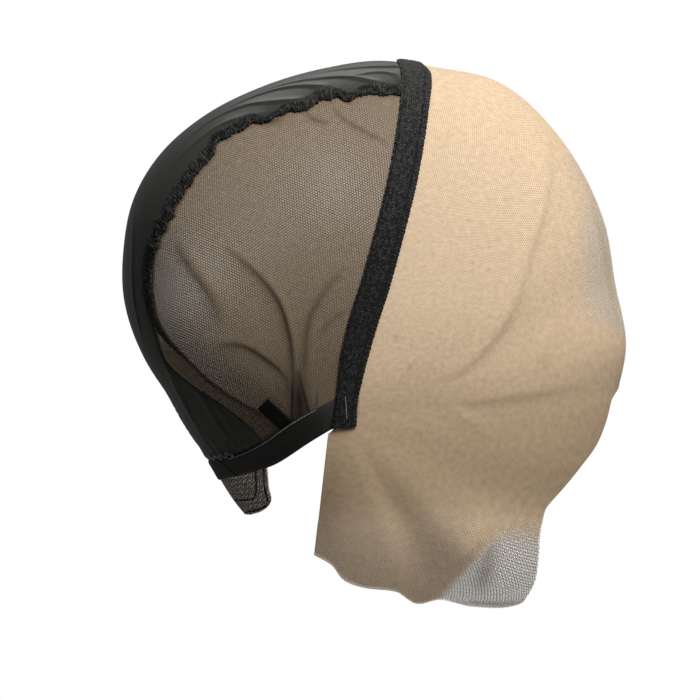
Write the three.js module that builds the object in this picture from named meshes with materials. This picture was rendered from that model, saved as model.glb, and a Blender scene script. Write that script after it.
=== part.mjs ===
// Lace wig cap in its worn form: a satin crown, two net sides, a woven elastic front band, a wide
// front lace brought together under the chin, and a nape strap with a small lace apron below it.
// Millimetres, +Z up, the face looks along -Y and the wearer's right is -X. The origin is the point
// inside the crown where the cap sits on the top of the head.

import * as THREE from 'three';
import { mergeVertices } from 'three/addons/utils/BufferGeometryUtils.js';

// Driving dimensions: the head, the cloth and the elastics
const HEAD_HALF_WIDTH = 73;
const EAR = { y: 23.4, z: -143.6 };
const CLOTH_WALL = 1.0;
const ELASTIC_WALL = 1.8;
const GAP = 0.4;
const OVER_CLOTH = CLOTH_WALL + GAP;
const BAND_WIDTH = 11.8;
const BAND_LEAN = 77;
const SEAM_WIDTH = 4.2;
const TAB_WIDTH = 7;
const NAPE_BAND_HALF = { upper: 27, lower: 33 };

// The head form, a row for each direction round the line through both ears. Angle is in degrees in
// the side view, 0 to the front, 90 up and 180 to the back. Reach runs from the ear line to the side
// outline, and fullness is the power of the section from the outline round to the ear.
const HEAD_SECTIONS = [
  { angle: -103, reach: 78, fullness: 2.0 },
  { angle: -90, reach: 86, fullness: 2.0 },
  { angle: -73, reach: 89, fullness: 2.0 },
  { angle: -60, reach: 90, fullness: 1.9 },
  { angle: -46, reach: 106, fullness: 1.75 },
  { angle: -27, reach: 104, fullness: 1.7 },
  { angle: -12, reach: 107, fullness: 1.7 },
  { angle: 4, reach: 112, fullness: 1.7 },
  { angle: 14, reach: 119, fullness: 1.75 },
  { angle: 26, reach: 123.5, fullness: 1.9 },
  { angle: 37, reach: 133, fullness: 2.1 },
  { angle: 54, reach: 145, fullness: 2.4 },
  { angle: 65, reach: 150, fullness: 2.5 },
  { angle: 76, reach: 146.4, fullness: 2.6 },
  { angle: 84.5, reach: 145.1, fullness: 2.6 },
  { angle: 93, reach: 141.6, fullness: 2.6 },
  { angle: 104, reach: 137.8, fullness: 2.6 },
  { angle: 115, reach: 134.4, fullness: 2.6 },
  { angle: 125, reach: 129.8, fullness: 2.6 },
  { angle: 134, reach: 122.6, fullness: 2.6 },
  { angle: 143, reach: 111.8, fullness: 2.55 },
  { angle: 152, reach: 100.8, fullness: 2.5 },
  { angle: 164, reach: 83.8, fullness: 2.3 },
  { angle: 173, reach: 72, fullness: 2.2 },
  { angle: 185, reach: 63, fullness: 2.05 },
  { angle: 198, reach: 57.5, fullness: 1.9 },
  { angle: 210, reach: 56.2, fullness: 1.8 },
  { angle: 232, reach: 57, fullness: 1.8 },
];

// Where the satin crown ends and the net begins, as reach from the ear line
const CROWN_EDGE = [
  { angle: 76, reach: 135.5 },
  { angle: 90, reach: 132 },
  { angle: 100, reach: 127.5 },
  { angle: 110, reach: 124.5 },
  { angle: 120, reach: 118.5 },
  { angle: 130, reach: 110.4 },
  { angle: 140, reach: 102.5 },
  { angle: 150, reach: 91 },
  { angle: 157, reach: 82 },
  { angle: 163.5, reach: 74 },
  { angle: 172, reach: 54.5 },
  { angle: 178, reach: 45 },
  { angle: 189, reach: 36.5 },
  { angle: 204, reach: 33 },
];

// The seam binding follows the crown's edge and leaves it low down for a plain line across the net
const SEAM_LINE = [
  { angle: 81, reach: 134.5, width: 1 },
  { angle: 90, reach: 132, width: 1 },
  { angle: 100, reach: 127.5, width: 1 },
  { angle: 110, reach: 124.5, width: 1 },
  { angle: 120, reach: 118.5, width: 1 },
  { angle: 130, reach: 110.4, width: 1 },
  { angle: 140, reach: 102.5, width: 1 },
  { angle: 150, reach: 91, width: 1 },
  { angle: 155.5, reach: 80, width: 0.8 },
  { angle: 159.5, reach: 67.5, width: 0.4 },
  { angle: 165.5, reach: 54, width: 0.35 },
  { angle: 171.5, reach: 41.5, width: 0.35 },
  { angle: 177.5, reach: 35.7, width: 0.35 },
  { angle: 184, reach: 32.5, width: 0.35 },
];
const RUCHE = { pitch: 7.5, sway: 0.7, lift: 0.5, lastAngle: 153, fade: 7 };

// Where each cloth begins under the band and ends under the strap or at its own hem, as angles, and
// how many sections and columns its wall has
const CROWN = { first: 79, last: 202, sections: 20, columns: 12 };
const NET = { first: 77.4, last: 199.5, columns: 11, rootFirst: [-2.9, 12.3], rootLast: [8.6, 0.8] };
const LACE = { first: 77.2, chin: -27, last: -101.5, columns: 12, rootFirst: 57, rootLast: -127,
  rootWide: 9, rootNarrow: 4.6, rootHem: 10,
  sections: { neck: 8, chin: 5, mouth: 7, brow: 14 } };
const COLUMNS = { band: 30, seam: 78, strap: 22, napeBand: 6, apron: 8, tab: 4 };

// The free edges of the front lace: past the mouth and the chin, and round the neck under the jaw
const MOUTH_EDGE = [
  { angle: 5.5, reach: 113 },
  { angle: 3.6, reach: 110 },
  { angle: -1, reach: 107.5 },
  { angle: -6.7, reach: 104 },
  { angle: -12.3, reach: 99 },
  { angle: -18.3, reach: 94.5 },
  { angle: -24.2, reach: 91 },
  { angle: -27, reach: 91.5 },
  { angle: -31.5, reach: 94 },
  { angle: -36.5, reach: 99 },
  { angle: -41, reach: 103.6 },
  { angle: -46, reach: 106 },
];
const NECK_EDGE = [
  { angle: -56, reach: 94 },
  { angle: -62, reach: 85 },
  { angle: -69, reach: 82 },
  { angle: -73, reach: 75 },
  { angle: -84, reach: 70 },
  { angle: -90, reach: 66.5 },
  { angle: -94, reach: 61 },
  { angle: -101.5, reach: 57.7 },
];

// The band's middle line: how far it stands forward of a straight lean from the ear to the top
const BAND_BOW = [
  { along: -5, forward: 1.6 },
  { along: 8, forward: 0.2 },
  { along: 30, forward: -1.0 },
  { along: 55, forward: 0.9 },
  { along: 95, forward: 2.1 },
  { along: 117, forward: 1.2 },
  { along: 131, forward: -0.6 },
  { along: 150, forward: -4.4 },
];

// The nape strap's upper and lower edge in the side view, back from and above the ear
const STRAP_EDGES = [
  { topBack: 4.8, topUp: 6.0, lowBack: 6.0, lowUp: -6.6 },
  { topBack: 20.1, topUp: -2.0, lowBack: 13.5, lowUp: -11.0 },
  { topBack: 32.0, topUp: -10.2, lowBack: 26.2, lowUp: -19.2 },
  { topBack: 43.0, topUp: -15.6, lowBack: 36.5, lowUp: -22.6 },
  { topBack: 54.7, topUp: -18.3, lowBack: 50.2, lowUp: -26.3 },
];

// The apron's free edge, back from and below the ear, a row for each section that runs from there to
// the outline at an angle, and the tab that lies inside the net
const APRON_EDGE = [
  { angle: 204, back: 31.0, up: -20.0 },
  { angle: 209, back: 30.6, up: -24.6 },
  { angle: 215, back: 30.2, up: -29.6 },
  { angle: 220.5, back: 29.2, up: -34.4 },
  { angle: 223, back: 30.2, up: -36.9 },
  { angle: 224.6, back: 33.6, up: -39.3 },
  { angle: 225.4, back: 37.6, up: -40.5 },
];
const TAB_LINE = { fromBack: 20, fromUp: -6.4, toBack: 32.4, toUp: 4.9 };

// The main folds, in the side view, back from and above the ear: a row for each, bent by its middle
const NET_FOLDS = [
  { from: [19.5, 4.5], via: [19.5, 38], to: [42, 62], height: 2.6, width: 4.6 },
  { from: [18.0, 6.0], via: [11.5, 42], to: [-8, 62], height: 2.0, width: 4.6 },
  { from: [20.5, 4.0], via: [34, 22], to: [54, 31], height: 1.8, width: 4.4 },
  { from: [52, 44], via: [62, 60], to: [70, 72], height: 1.4, width: 5.0 },
];
const LACE_FOLDS = [
  { from: [-82, 74], via: [-70, 30], to: [-40, 14.5], height: 2.4, width: 5.5 },
  { from: [-31, 14.5], via: [-42, 8], to: [-49, 0], height: 1.4, width: 4.5 },
  { from: [-88, 100], via: [-91, 86], to: [-86, 70], height: 1.6, width: 5.0 },
  { from: [-60, -42], via: [-46, -62], to: [-39, -74], height: 1.8, width: 5.0 },
];
const PLEAT = { pitch: 12, height: 1.1, firstAngle: 84, lastAngle: 108 };

const { degToRad: radians, lerp, smoothstep, clamp } = THREE.MathUtils;

/** Reads a table by its first column: a smooth cubic curve through the rows of another column. */
function along(table, key, column, value) {
  const rising = table[0][key] < table[table.length - 1][key];
  const rows = rising ? table : [...table].reverse();
  let i = 0;
  while (i < rows.length - 2 && value > rows[i + 1][key]) i += 1;
  const slope = (a, b) => (rows[b][column] - rows[a][column]) / (rows[b][key] - rows[a][key]);
  const last = rows.length - 1;
  const span = rows[i + 1][key] - rows[i][key];
  const startSlope = slope(Math.max(i - 1, 0), i + 1);
  const endSlope = slope(i, Math.min(i + 2, last));
  const t = clamp((value - rows[i][key]) / span, 0, 1);
  const t2 = t * t;
  const t3 = t2 * t;
  return (2 * t3 - 3 * t2 + 1) * rows[i][column] + (t3 - 2 * t2 + t) * span * startSlope
    + (3 * t2 - 2 * t3) * rows[i + 1][column] + (t3 - t2) * span * endSlope;
}

/** A place in the side view, back from and above the ear, from an angle and a reach. */
function polar(angle, reach) {
  return { back: -reach * Math.cos(radians(angle)), up: reach * Math.sin(radians(angle)) };
}

/** The angle of a place in the side view, from -128 to 232 degrees. */
function angleOf(back, up) {
  const angle = THREE.MathUtils.radToDeg(Math.atan2(up, -back));
  return angle < -128 ? angle + 360 : angle;
}

/** How far out of the head form a point lies: below zero inside, zero on it, above zero outside. */
function outside(x, back, up) {
  const angle = angleOf(back, up);
  const power = along(HEAD_SECTIONS, 'angle', 'fullness', angle);
  const share = Math.hypot(back, up) / along(HEAD_SECTIONS, 'angle', 'reach', angle);
  return (Math.abs(x) / HEAD_HALF_WIDTH) ** power + share ** power - 1;
}

/** The half width of the head form at a place in the side view, zero on and past the outline. */
function halfWidthAt(back, up) {
  const angle = angleOf(back, up);
  const power = along(HEAD_SECTIONS, 'angle', 'fullness', angle);
  const share = Math.hypot(back, up) / along(HEAD_SECTIONS, 'angle', 'reach', angle);
  return share >= 1 ? 0 : HEAD_HALF_WIDTH * (1 - share ** power) ** (1 / power);
}

/** The head form's outline point in the side view at an angle. */
function outlineAt(angle) {
  return polar(angle, along(HEAD_SECTIONS, 'angle', 'reach', angle));
}

/** The head form's normal at a point on the wearer's right, by small steps of outside(). */
function normalAt(x, back, up) {
  const step = 0.02;
  const normal = new THREE.Vector3(
    outside(x + step, back, up) - outside(x - step, back, up),
    outside(x, back + step, up) - outside(x, back - step, up),
    outside(x, back, up + step) - outside(x, back, up - step),
  );
  return normal.normalize();
}

/** A row of count + 1 evenly spaced points on the form under a path in the side view. */
function rowOnForm(path, count) {
  const samples = 240;
  const fine = [];
  for (let i = 0; i <= samples; i += 1) {
    const s = 1 - (1 - i / samples) ** 2;
    const place = path(s);
    fine.push({ x: -halfWidthAt(place.back, place.up), ...place });
  }
  const lengths = [0];
  for (let i = 1; i <= samples; i += 1) {
    const a = fine[i - 1];
    const b = fine[i];
    lengths.push(lengths[i - 1] + Math.hypot(b.x - a.x, b.back - a.back, b.up - a.up));
  }
  const row = [];
  for (let i = 0, k = 0; i <= count; i += 1) {
    const target = (lengths[samples] * i) / count;
    while (k < samples - 1 && lengths[k + 1] < target) k += 1;
    const t = (target - lengths[k]) / (lengths[k + 1] - lengths[k]);
    const place = { back: lerp(fine[k].back, fine[k + 1].back, t),
      up: lerp(fine[k].up, fine[k + 1].up, t) };
    row.push({ x: i === count && fine[samples].x === 0 ? 0 : -halfWidthAt(place.back, place.up), ...place });
  }
  return row;
}

/** A straight path in the side view between two places. */
function straight(from, to) {
  return (s) => ({ back: lerp(from.back, to.back, s),
    up: lerp(from.up, to.up, s) });
}

/** The height of a table of folds at a place: bell-shaped ridges along bent lines. */
function foldHeight(folds, back, up) {
  const pieces = 24;
  let height = 0;
  for (const fold of folds) {
    let nearest = Infinity;
    let fade = 0;
    for (let i = 0; i <= pieces; i += 1) {
      const t = i / pieces;
      const at = (k) => (1 - t) ** 2 * fold.from[k] + 2 * t * (1 - t) * fold.via[k] + t * t * fold.to[k];
      const distance = Math.hypot(back - at(0), up - at(1));
      if (distance < nearest) {
        nearest = distance;
        fade = Math.sin(Math.PI * clamp(t, 0.06, 0.94)) ** 0.5;
      }
    }
    height += fold.height * fade * Math.exp(-((nearest / fold.width) ** 2));
  }
  return height;
}

/**
 * A cloth wall over rows of places on the wearer's right, from lift to lift + wall above the form.
 * Rows whose last point lies in the mid-plane join their mirror image there; other ends are closed.
 * relief(place, i, j) raises the cloth. Sides is 'both' for one piece across the head, or 'right' or
 * 'left' for a piece that has its own mirror image.
 */
function clothWall(rows, { lift, wall, sides, relief = () => 0 }) {
  const skins = [lift, lift + wall].map((height) => rows.map((row, i) => row.map((place, j) => {
    const normal = normalAt(place.x, place.back, place.up);
    const raised = height + relief(place, i, j);
    return [place.x + normal.x * raised, EAR.y + place.back + normal.y * raised,
      EAR.z + place.up + normal.z * raised];
  })));
  const [inner, outer] = skins;
  const positions = [];
  const quad = (a, b, c, d) => positions.push(...a, ...b, ...c, ...a, ...c, ...d);
  const rowCount = rows.length - 1;
  const last = rows[0].length - 1;
  const joined = (i) => sides === 'both' && rows[i][last].x === 0;
  for (let i = 0; i < rowCount; i += 1) {
    for (let j = 0; j < last; j += 1) {
      quad(outer[i][j], outer[i][j + 1], outer[i + 1][j + 1], outer[i + 1][j]);
      quad(inner[i][j], inner[i + 1][j], inner[i + 1][j + 1], inner[i][j + 1]);
    }
    quad(outer[i][0], outer[i + 1][0], inner[i + 1][0], inner[i][0]);
    if (!(joined(i) && joined(i + 1))) {
      quad(outer[i + 1][last], outer[i][last], inner[i][last], inner[i + 1][last]);
    }
  }
  for (let j = 0; j < last; j += 1) {
    quad(outer[0][j + 1], outer[0][j], inner[0][j], inner[0][j + 1]);
    quad(outer[rowCount][j], outer[rowCount][j + 1], inner[rowCount][j + 1], inner[rowCount][j]);
  }
  const mirrored = [];
  for (let k = 0; k < positions.length; k += 9) {
    for (const corner of [0, 6, 3]) {
      mirrored.push(-positions[k + corner], positions[k + corner + 1], positions[k + corner + 2]);
    }
  }
  const chosen = { right: positions, left: mirrored, both: [...positions, ...mirrored] }[sides];
  const geometry = new THREE.BufferGeometry();
  geometry.setAttribute('position', new THREE.Float32BufferAttribute(chosen, 3));
  return mergeVertices(geometry, 1e-3);
}

/** The value between low and high up to which a test holds, found by halving. */
function bisect(low, high, holds) {
  let from = low;
  let to = high;
  for (let k = 0; k < 50; k += 1) {
    const middle = (from + to) / 2;
    if (holds(middle)) from = middle;
    else to = middle;
  }
  return to;
}

/** Values from first to last in count even steps, both ends included. */
function steps(first, last, count) {
  return Array.from({ length: count + 1 }, (_, i) => lerp(first, last, i / count));
}

// The crown and the net share these sections along their border, so the gap between them stays even
const BORDER_ANGLES = steps(CROWN.first, NET.last, CROWN.sections);

/** The satin crown: sections from its seam to the mid-plane, from the band to the nape strap. */
function crownPanel() {
  const rows = [...BORDER_ANGLES, CROWN.last].map((angle) => {
    const rim = polar(angle, along(CROWN_EDGE, 'angle', 'reach', angle) + GAP);
    return rowOnForm(straight(rim, outlineAt(angle)), CROWN.columns);
  });
  const relief = (place, i, j) => {
    const angle = angleOf(place.back, place.up);
    const rise = smoothstep(angle, CROWN.first, PLEAT.firstAngle);
    const fall = 1 - smoothstep(angle, PLEAT.firstAngle, PLEAT.lastAngle);
    const clearOfSeam = smoothstep(j, 0.5, 2.5);
    const wave = 0.5 + 0.5 * Math.cos((2 * Math.PI * place.x) / PLEAT.pitch);
    return PLEAT.height * rise * fall * clearOfSeam * wave;
  };
  return clothWall(rows, { lift: 0, wall: CLOTH_WALL, sides: 'both', relief });
}

/** One net side: a fan round the ear from the band to the strap, out to the crown's edge. */
function sideMesh(sides) {
  const angles = [NET.first, ...BORDER_ANGLES.slice(1)];
  const turns = angles.length - 1;
  const rows = angles.map((angle, i) => {
    const rim = polar(angle, along(CROWN_EDGE, 'angle', 'reach', angle) - GAP);
    const root = { back: lerp(NET.rootFirst[0], NET.rootLast[0], i / turns),
      up: lerp(NET.rootFirst[1], NET.rootLast[1], i / turns) };
    return rowOnForm(straight(root, rim), NET.columns);
  });
  const relief = (place, i, j) => {
    const clearOfBand = smoothstep(i, 2, 5);
    const clearOfStrap = 1 - smoothstep(i, turns - 8, turns - 5);
    const clearOfEar = smoothstep(j, 1, 3);
    const clearOfSeam = 1 - smoothstep(j, NET.columns - 3, NET.columns - 1);
    const clear = clearOfBand * clearOfStrap * clearOfEar * clearOfSeam;
    return clear * foldHeight(NET_FOLDS, place.back, place.up);
  };
  return clothWall(rows, { lift: 0, wall: CLOTH_WALL, sides, relief });
}

/** The outer end of a lace section: a free edge past the mouth or on the neck, or else the outline. */
function laceRim(angle) {
  const between = (edge) => angle < edge[0].angle && angle > edge[edge.length - 1].angle;
  if (between(MOUTH_EDGE)) return polar(angle, along(MOUTH_EDGE, 'angle', 'reach', angle));
  if (angle < NECK_EDGE[0].angle) return polar(angle, along(NECK_EDGE, 'angle', 'reach', angle));
  return outlineAt(angle);
}

/** The front lace: a fan round the ear from the neck, under the chin and over the face to the band. */
function frontLace() {
  const underChin = NECK_EDGE[0].angle;
  const underNose = MOUTH_EDGE[0].angle;
  const angles = [
    ...steps(LACE.last, underChin, LACE.sections.neck),
    ...steps(underChin, LACE.chin, LACE.sections.chin).slice(1),
    ...steps(LACE.chin, underNose, LACE.sections.mouth).slice(1),
    ...steps(underNose, LACE.first, LACE.sections.brow).slice(1),
  ];
  const turns = angles.length - 1;
  const rows = angles.map((angle, i) => {
    const u = 1 - i / turns;
    const nearBand = lerp(LACE.rootWide, LACE.rootNarrow, Math.min(1, 4 * u));
    const nearHem = (LACE.rootHem - LACE.rootNarrow) * smoothstep(u, 0.85, 1);
    const root = polar(lerp(LACE.rootFirst, LACE.rootLast, u), nearBand + nearHem);
    return rowOnForm(straight(root, laceRim(angle)), LACE.columns);
  });
  const relief = (place, i, j) => {
    const clearOfBand = smoothstep(turns - i, 1, 5);
    const clearOfEar = smoothstep(j, 2, 4);
    const clearOfRim = 1 - smoothstep(j, LACE.columns - 2, LACE.columns);
    return clearOfBand * clearOfEar * clearOfRim * foldHeight(LACE_FOLDS, place.back, place.up);
  };
  return clothWall(rows, { lift: 0, wall: CLOTH_WALL, sides: 'both', relief });
}

/** The elastic band over the joint of lace, net and crown, from ear to ear. */
function frontBand() {
  const lean = polar(BAND_LEAN, 1);
  const forward = polar(BAND_LEAN - 90, 1);
  const rows = steps(0.5, -0.5, 2).map((side) => {
    const place = (s) => {
      const across = along(BAND_BOW, 'along', 'forward', s) + side * BAND_WIDTH;
      return { back: s * lean.back + across * forward.back, up: s * lean.up + across * forward.up };
    };
    const top = bisect(100, 170, (s) => outside(0, place(s).back, place(s).up) < 0);
    return rowOnForm((s) => place(lerp(BAND_BOW[0].along, top, s)), COLUMNS.band);
  });
  return clothWall(rows, { lift: OVER_CLOTH, wall: ELASTIC_WALL, sides: 'both' });
}

/** One crinkled seam binding along the crown's edge, swaying and rising with its ruching. */
function crownSeam(sides) {
  const lines = steps(SEAM_LINE[0].angle, SEAM_LINE[SEAM_LINE.length - 1].angle, COLUMNS.seam);
  const ruched = (angle) => 1 - smoothstep(angle, RUCHE.lastAngle - RUCHE.fade, RUCHE.lastAngle);
  const turn = (angle) => (2 * Math.PI * radians(angle) * SEAM_LINE[0].reach) / RUCHE.pitch;
  const rows = [0.5, 0, -0.5].map((side) => lines.map((angle) => {
    const sway = RUCHE.sway * ruched(angle) * Math.sin(turn(angle));
    const width = SEAM_WIDTH * along(SEAM_LINE, 'angle', 'width', angle);
    const place = polar(angle, along(SEAM_LINE, 'angle', 'reach', angle) + side * width + sway);
    return { x: -halfWidthAt(place.back, place.up), ...place };
  }));
  const relief = (place, i, j) => {
    const ripple = RUCHE.lift * ruched(lines[j]) * (0.5 + 0.5 * Math.cos(turn(lines[j])));
    const ridge = i === 1 ? RUCHE.lift : 0;
    return ripple + ridge;
  };
  return clothWall(rows, { lift: OVER_CLOTH, wall: CLOTH_WALL, sides, relief });
}

/** A place on the nape strap: s from the ear to the nape, side from its upper to its lower edge. */
function strapPlace(s, side) {
  const table = STRAP_EDGES.map((row, i) => ({ s: i / (STRAP_EDGES.length - 1), ...row }));
  const column = (top, low) => lerp(along(table, 's', top, s), along(table, 's', low, s), side);
  return { back: column('topBack', 'lowBack'), up: column('topUp', 'lowUp') };
}

/** The half width of the nape band at a side, 0 on its upper and 1 on its lower edge. */
function napeBandHalf(side) {
  return lerp(NAPE_BAND_HALF.upper, NAPE_BAND_HALF.lower, side);
}

/** The share of the strap line at which the strap is a given half width from the mid-plane. */
function strapShareAt(halfWidth, side) {
  return bisect(0.3, 1, (s) => {
    const place = strapPlace(s, side);
    return halfWidthAt(place.back, place.up) > halfWidth;
  });
}

/** One nape strap, from the ear end of the band to the stitched joint near the nape. */
function napeStrap(sides) {
  const rows = steps(0, 1, 3).map((side) => {
    const end = strapShareAt(napeBandHalf(side) + GAP, side);
    return rowOnForm((s) => strapPlace(s * end, side), COLUMNS.strap);
  });
  return clothWall(rows, { lift: OVER_CLOTH, wall: ELASTIC_WALL, sides });
}

/** The short elastic across the nape between the two straps. */
function napeBand() {
  const rows = steps(0, 1, 3).map((side) => {
    const start = strapShareAt(napeBandHalf(side), side);
    const end = strapShareAt(0, side);
    return rowOnForm((s) => strapPlace(lerp(start, end, s), side), COLUMNS.napeBand);
  });
  return clothWall(rows, { lift: OVER_CLOTH, wall: ELASTIC_WALL, sides: 'both' });
}

/** The lace apron below the nape strap, round at its lower corners. */
function napeLace() {
  const rows = APRON_EDGE.map(({ angle, back, up }) => (
    rowOnForm(straight({ back, up }, outlineAt(angle)), COLUMNS.apron)));
  return clothWall(rows, { lift: 0, wall: CLOTH_WALL, sides: 'both' });
}

/** One square-ended elastic tab inside the net, running up from the strap. */
function strapTab(sides) {
  const from = { back: TAB_LINE.fromBack, up: TAB_LINE.fromUp };
  const to = { back: TAB_LINE.toBack, up: TAB_LINE.toUp };
  const length = Math.hypot(to.back - from.back, to.up - from.up);
  const across = { back: -(to.up - from.up) / length, up: (to.back - from.back) / length };
  const rows = [0.5, 0, -0.5].map((side) => rowOnForm(straight(
    { back: from.back + side * TAB_WIDTH * across.back, up: from.up + side * TAB_WIDTH * across.up },
    { back: to.back + side * TAB_WIDTH * across.back, up: to.up + side * TAB_WIDTH * across.up },
  ), COLUMNS.tab));
  return clothWall(rows, { lift: -GAP - CLOTH_WALL, wall: CLOTH_WALL, sides });
}

// Finishes
const satin = new THREE.MeshStandardMaterial({ color: 0x1b1d1b, roughness: 0.42, metalness: 0 });
const binding = new THREE.MeshStandardMaterial({ color: 0x0b0b0b, roughness: 0.8, metalness: 0 });
const net = new THREE.MeshStandardMaterial({ color: 0x241c17, roughness: 0.75, metalness: 0 });
const wovenElastic = new THREE.MeshStandardMaterial({ color: 0x101010, roughness: 0.85, metalness: 0 });
const smoothElastic = new THREE.MeshStandardMaterial({ color: 0x131312, roughness: 0.6, metalness: 0 });
const skinLace = new THREE.MeshStandardMaterial({ color: 0xc8b094, roughness: 0.7, metalness: 0 });
const darkLace = new THREE.MeshStandardMaterial({ color: 0x3a2c24, roughness: 0.75, metalness: 0 });

const cap = new THREE.Group();

/** Adds one named piece to the cap. */
function addPiece(name, geometry, material) {
  const mesh = new THREE.Mesh(geometry, material);
  mesh.name = name;
  cap.add(mesh);
}

addPiece('crown_panel', crownPanel(), satin);
addPiece('front_band', frontBand(), wovenElastic);
addPiece('front_lace', frontLace(), skinLace);
addPiece('nape_band', napeBand(), smoothElastic);
addPiece('nape_lace', napeLace(), darkLace);
for (const side of ['right', 'left']) {
  addPiece(`crown_seam_${side}`, crownSeam(side), binding);
  addPiece(`side_mesh_${side}`, sideMesh(side), net);
  addPiece(`nape_strap_${side}`, napeStrap(side), smoothElastic);
  addPiece(`strap_tab_${side}`, strapTab(side), smoothElastic);
}

export default cap;
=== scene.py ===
"""Looks of a lace wig cap: satin crown, net sides, crocheted band, wide front lace and nape straps.
Tables are in millimetres and meshes in metres; +Z is up, the face looks along -Y, the wearer's right
is -X. Pieces are worked out on the right side and mirrored."""
import math

import bmesh
import bpy
import numpy as np
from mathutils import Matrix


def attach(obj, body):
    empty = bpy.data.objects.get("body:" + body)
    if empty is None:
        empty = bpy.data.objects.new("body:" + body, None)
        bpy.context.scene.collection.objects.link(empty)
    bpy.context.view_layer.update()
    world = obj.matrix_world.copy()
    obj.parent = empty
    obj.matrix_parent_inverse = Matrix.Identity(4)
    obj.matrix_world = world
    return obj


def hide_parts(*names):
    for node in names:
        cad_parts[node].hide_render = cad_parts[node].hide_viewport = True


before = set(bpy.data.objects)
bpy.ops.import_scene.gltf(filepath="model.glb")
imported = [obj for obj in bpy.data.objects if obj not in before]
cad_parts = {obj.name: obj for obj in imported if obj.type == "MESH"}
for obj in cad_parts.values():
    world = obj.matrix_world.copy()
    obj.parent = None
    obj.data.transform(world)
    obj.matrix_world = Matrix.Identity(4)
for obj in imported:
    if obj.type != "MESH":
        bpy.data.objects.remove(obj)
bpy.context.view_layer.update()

# Camera, floor and light
# A very long lens looks square at the wearer's right side, so that near and far keep one scale. The
# room is white, with a large soft lamp above the near side of the face and a weak one on the far side.
MM = 0.001
VIEW_WIDTH = 287 * MM
VIEW_CENTRE = np.array([0.0, 20.5, -117.0]) * MM
CAMERA_DISTANCE, SENSOR_WIDTH, NEAR_CLIP = 8.0, 36.0, 0.05
SHEER_LAYERS = 32
FLOOR_DROP, FLOOR_RADIUS, FLOOR_CORNERS = -1200, 800, 96
HEAD_MIDDLE = np.array([0, 0.02, -0.10])
# Each lamp's place in metres, its size and its watts
LAMPS = {"key_lamp": ((-1.0, -0.7, 1.2), 0.9, 53), "rim_lamp": ((0.9, 0.15, 1.0), 0.7, 5)}
WHITE = (1, 1, 1, 1)
# The room's light from below and from above, and the slopes between which it changes
ROOM_LIGHT_LOW, ROOM_LIGHT_HIGH = 0.07, 0.34
ROOM_SLOPE_LOW, ROOM_SLOPE_HIGH = -0.5, 0.6

scene = bpy.context.scene
camera_data = bpy.data.cameras.new("camera")
camera_data.sensor_width = SENSOR_WIDTH
camera_data.lens = SENSOR_WIDTH * CAMERA_DISTANCE / VIEW_WIDTH
camera_data.clip_start = NEAR_CLIP
camera = bpy.data.objects.new("camera", camera_data)
camera.location = VIEW_CENTRE - np.array([CAMERA_DISTANCE, 0, 0])
camera.rotation_euler = (math.radians(90), 0, math.radians(-90))
scene.collection.objects.link(camera)
scene.camera = camera
scene.view_settings.view_transform = "Standard"
scene.cycles.transparent_max_bounces = SHEER_LAYERS


def fill_sockets(tree, node, sockets):
    """Fills a node's sockets, by name or number: a constant is set, another node's output is linked."""
    for socket, value in sockets.items():
        if isinstance(value, bpy.types.NodeSocket):
            tree.links.new(value, node.inputs[socket])
        else:
            node.inputs[socket].default_value = value


def add_node(tree, kind, sockets=None, operation=None):
    """A new node of a kind, with its operation where it has one, and its sockets filled."""
    node = tree.nodes.new(kind)
    if operation:
        node.operation = operation
    fill_sockets(tree, node, sockets or {})
    return node


def spread(tree, value, low, high, at_low, at_high):
    """An output that runs from at_low to at_high while a value goes from low to high."""
    node = add_node(tree, "ShaderNodeMapRange", {
        "Value": value, "From Min": low, "From Max": high, "To Min": at_low, "To Max": at_high})
    return node.outputs[0]


def new_material(name, colour, roughness, specular):
    """A Principled material; returns it with its node tree and its shader, for the pattern's nodes."""
    material = bpy.data.materials.new(name)
    material.use_nodes = True
    tree = material.node_tree
    shader = tree.nodes["Principled BSDF"]
    fill_sockets(tree, shader, {
        "Base Color": (*colour, 1), "Roughness": roughness, "Specular IOR Level": specular})
    return material, tree, shader


def add_mesh(name, points, faces, material, uv=None, **values):
    """A smooth mesh object at the origin from points in millimetres and faces of point numbers. Keeps
    uv, in millimetres of cloth, as its map, and further values a point as attributes."""
    mesh = bpy.data.meshes.new(name)
    mesh.from_pydata((points.reshape(-1, 3) * MM).tolist(), [], faces)
    mesh.polygons.foreach_set("use_smooth", np.full(len(mesh.polygons), True))
    mesh.materials.append(material)
    if uv is not None:
        corners = np.empty(len(mesh.loops), int)
        mesh.loops.foreach_get("vertex_index", corners)
        flat = uv.reshape(-1, 2)[corners].astype(np.float32)
        mesh.uv_layers.new(name="cloth").uv.foreach_set("vector", flat.ravel())
    for label, numbers in values.items():
        attribute = mesh.attributes.new(label, "FLOAT", "POINT")
        attribute.data.foreach_set("value", numbers.astype(np.float32).ravel())
    piece = bpy.data.objects.new(name, mesh)
    scene.collection.objects.link(piece)
    return piece


floor_turn = np.linspace(0, 2 * np.pi, FLOOR_CORNERS, endpoint=False)
floor_points = np.stack([FLOOR_RADIUS * np.cos(floor_turn), FLOOR_RADIUS * np.sin(floor_turn),
                         FLOOR_DROP + 0 * floor_turn], -1)
floor_paint, _, _ = new_material("pale_floor", (0.86, 0.86, 0.85), roughness=0.9, specular=0.1)
floor = add_mesh("floor", floor_points, [list(range(FLOOR_CORNERS))], floor_paint)

for name, (place, size, watts) in LAMPS.items():
    lamp_data = bpy.data.lights.new(name, "AREA")
    lamp_data.size = size
    lamp_data.energy = watts
    lamp = bpy.data.objects.new(name, lamp_data)
    lamp.location = place
    aside, back, up = HEAD_MIDDLE - np.array(place)
    lamp.rotation_euler = (math.atan2(math.hypot(aside, back), -up), 0, math.atan2(-aside, back))
    scene.collection.objects.link(lamp)

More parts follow.
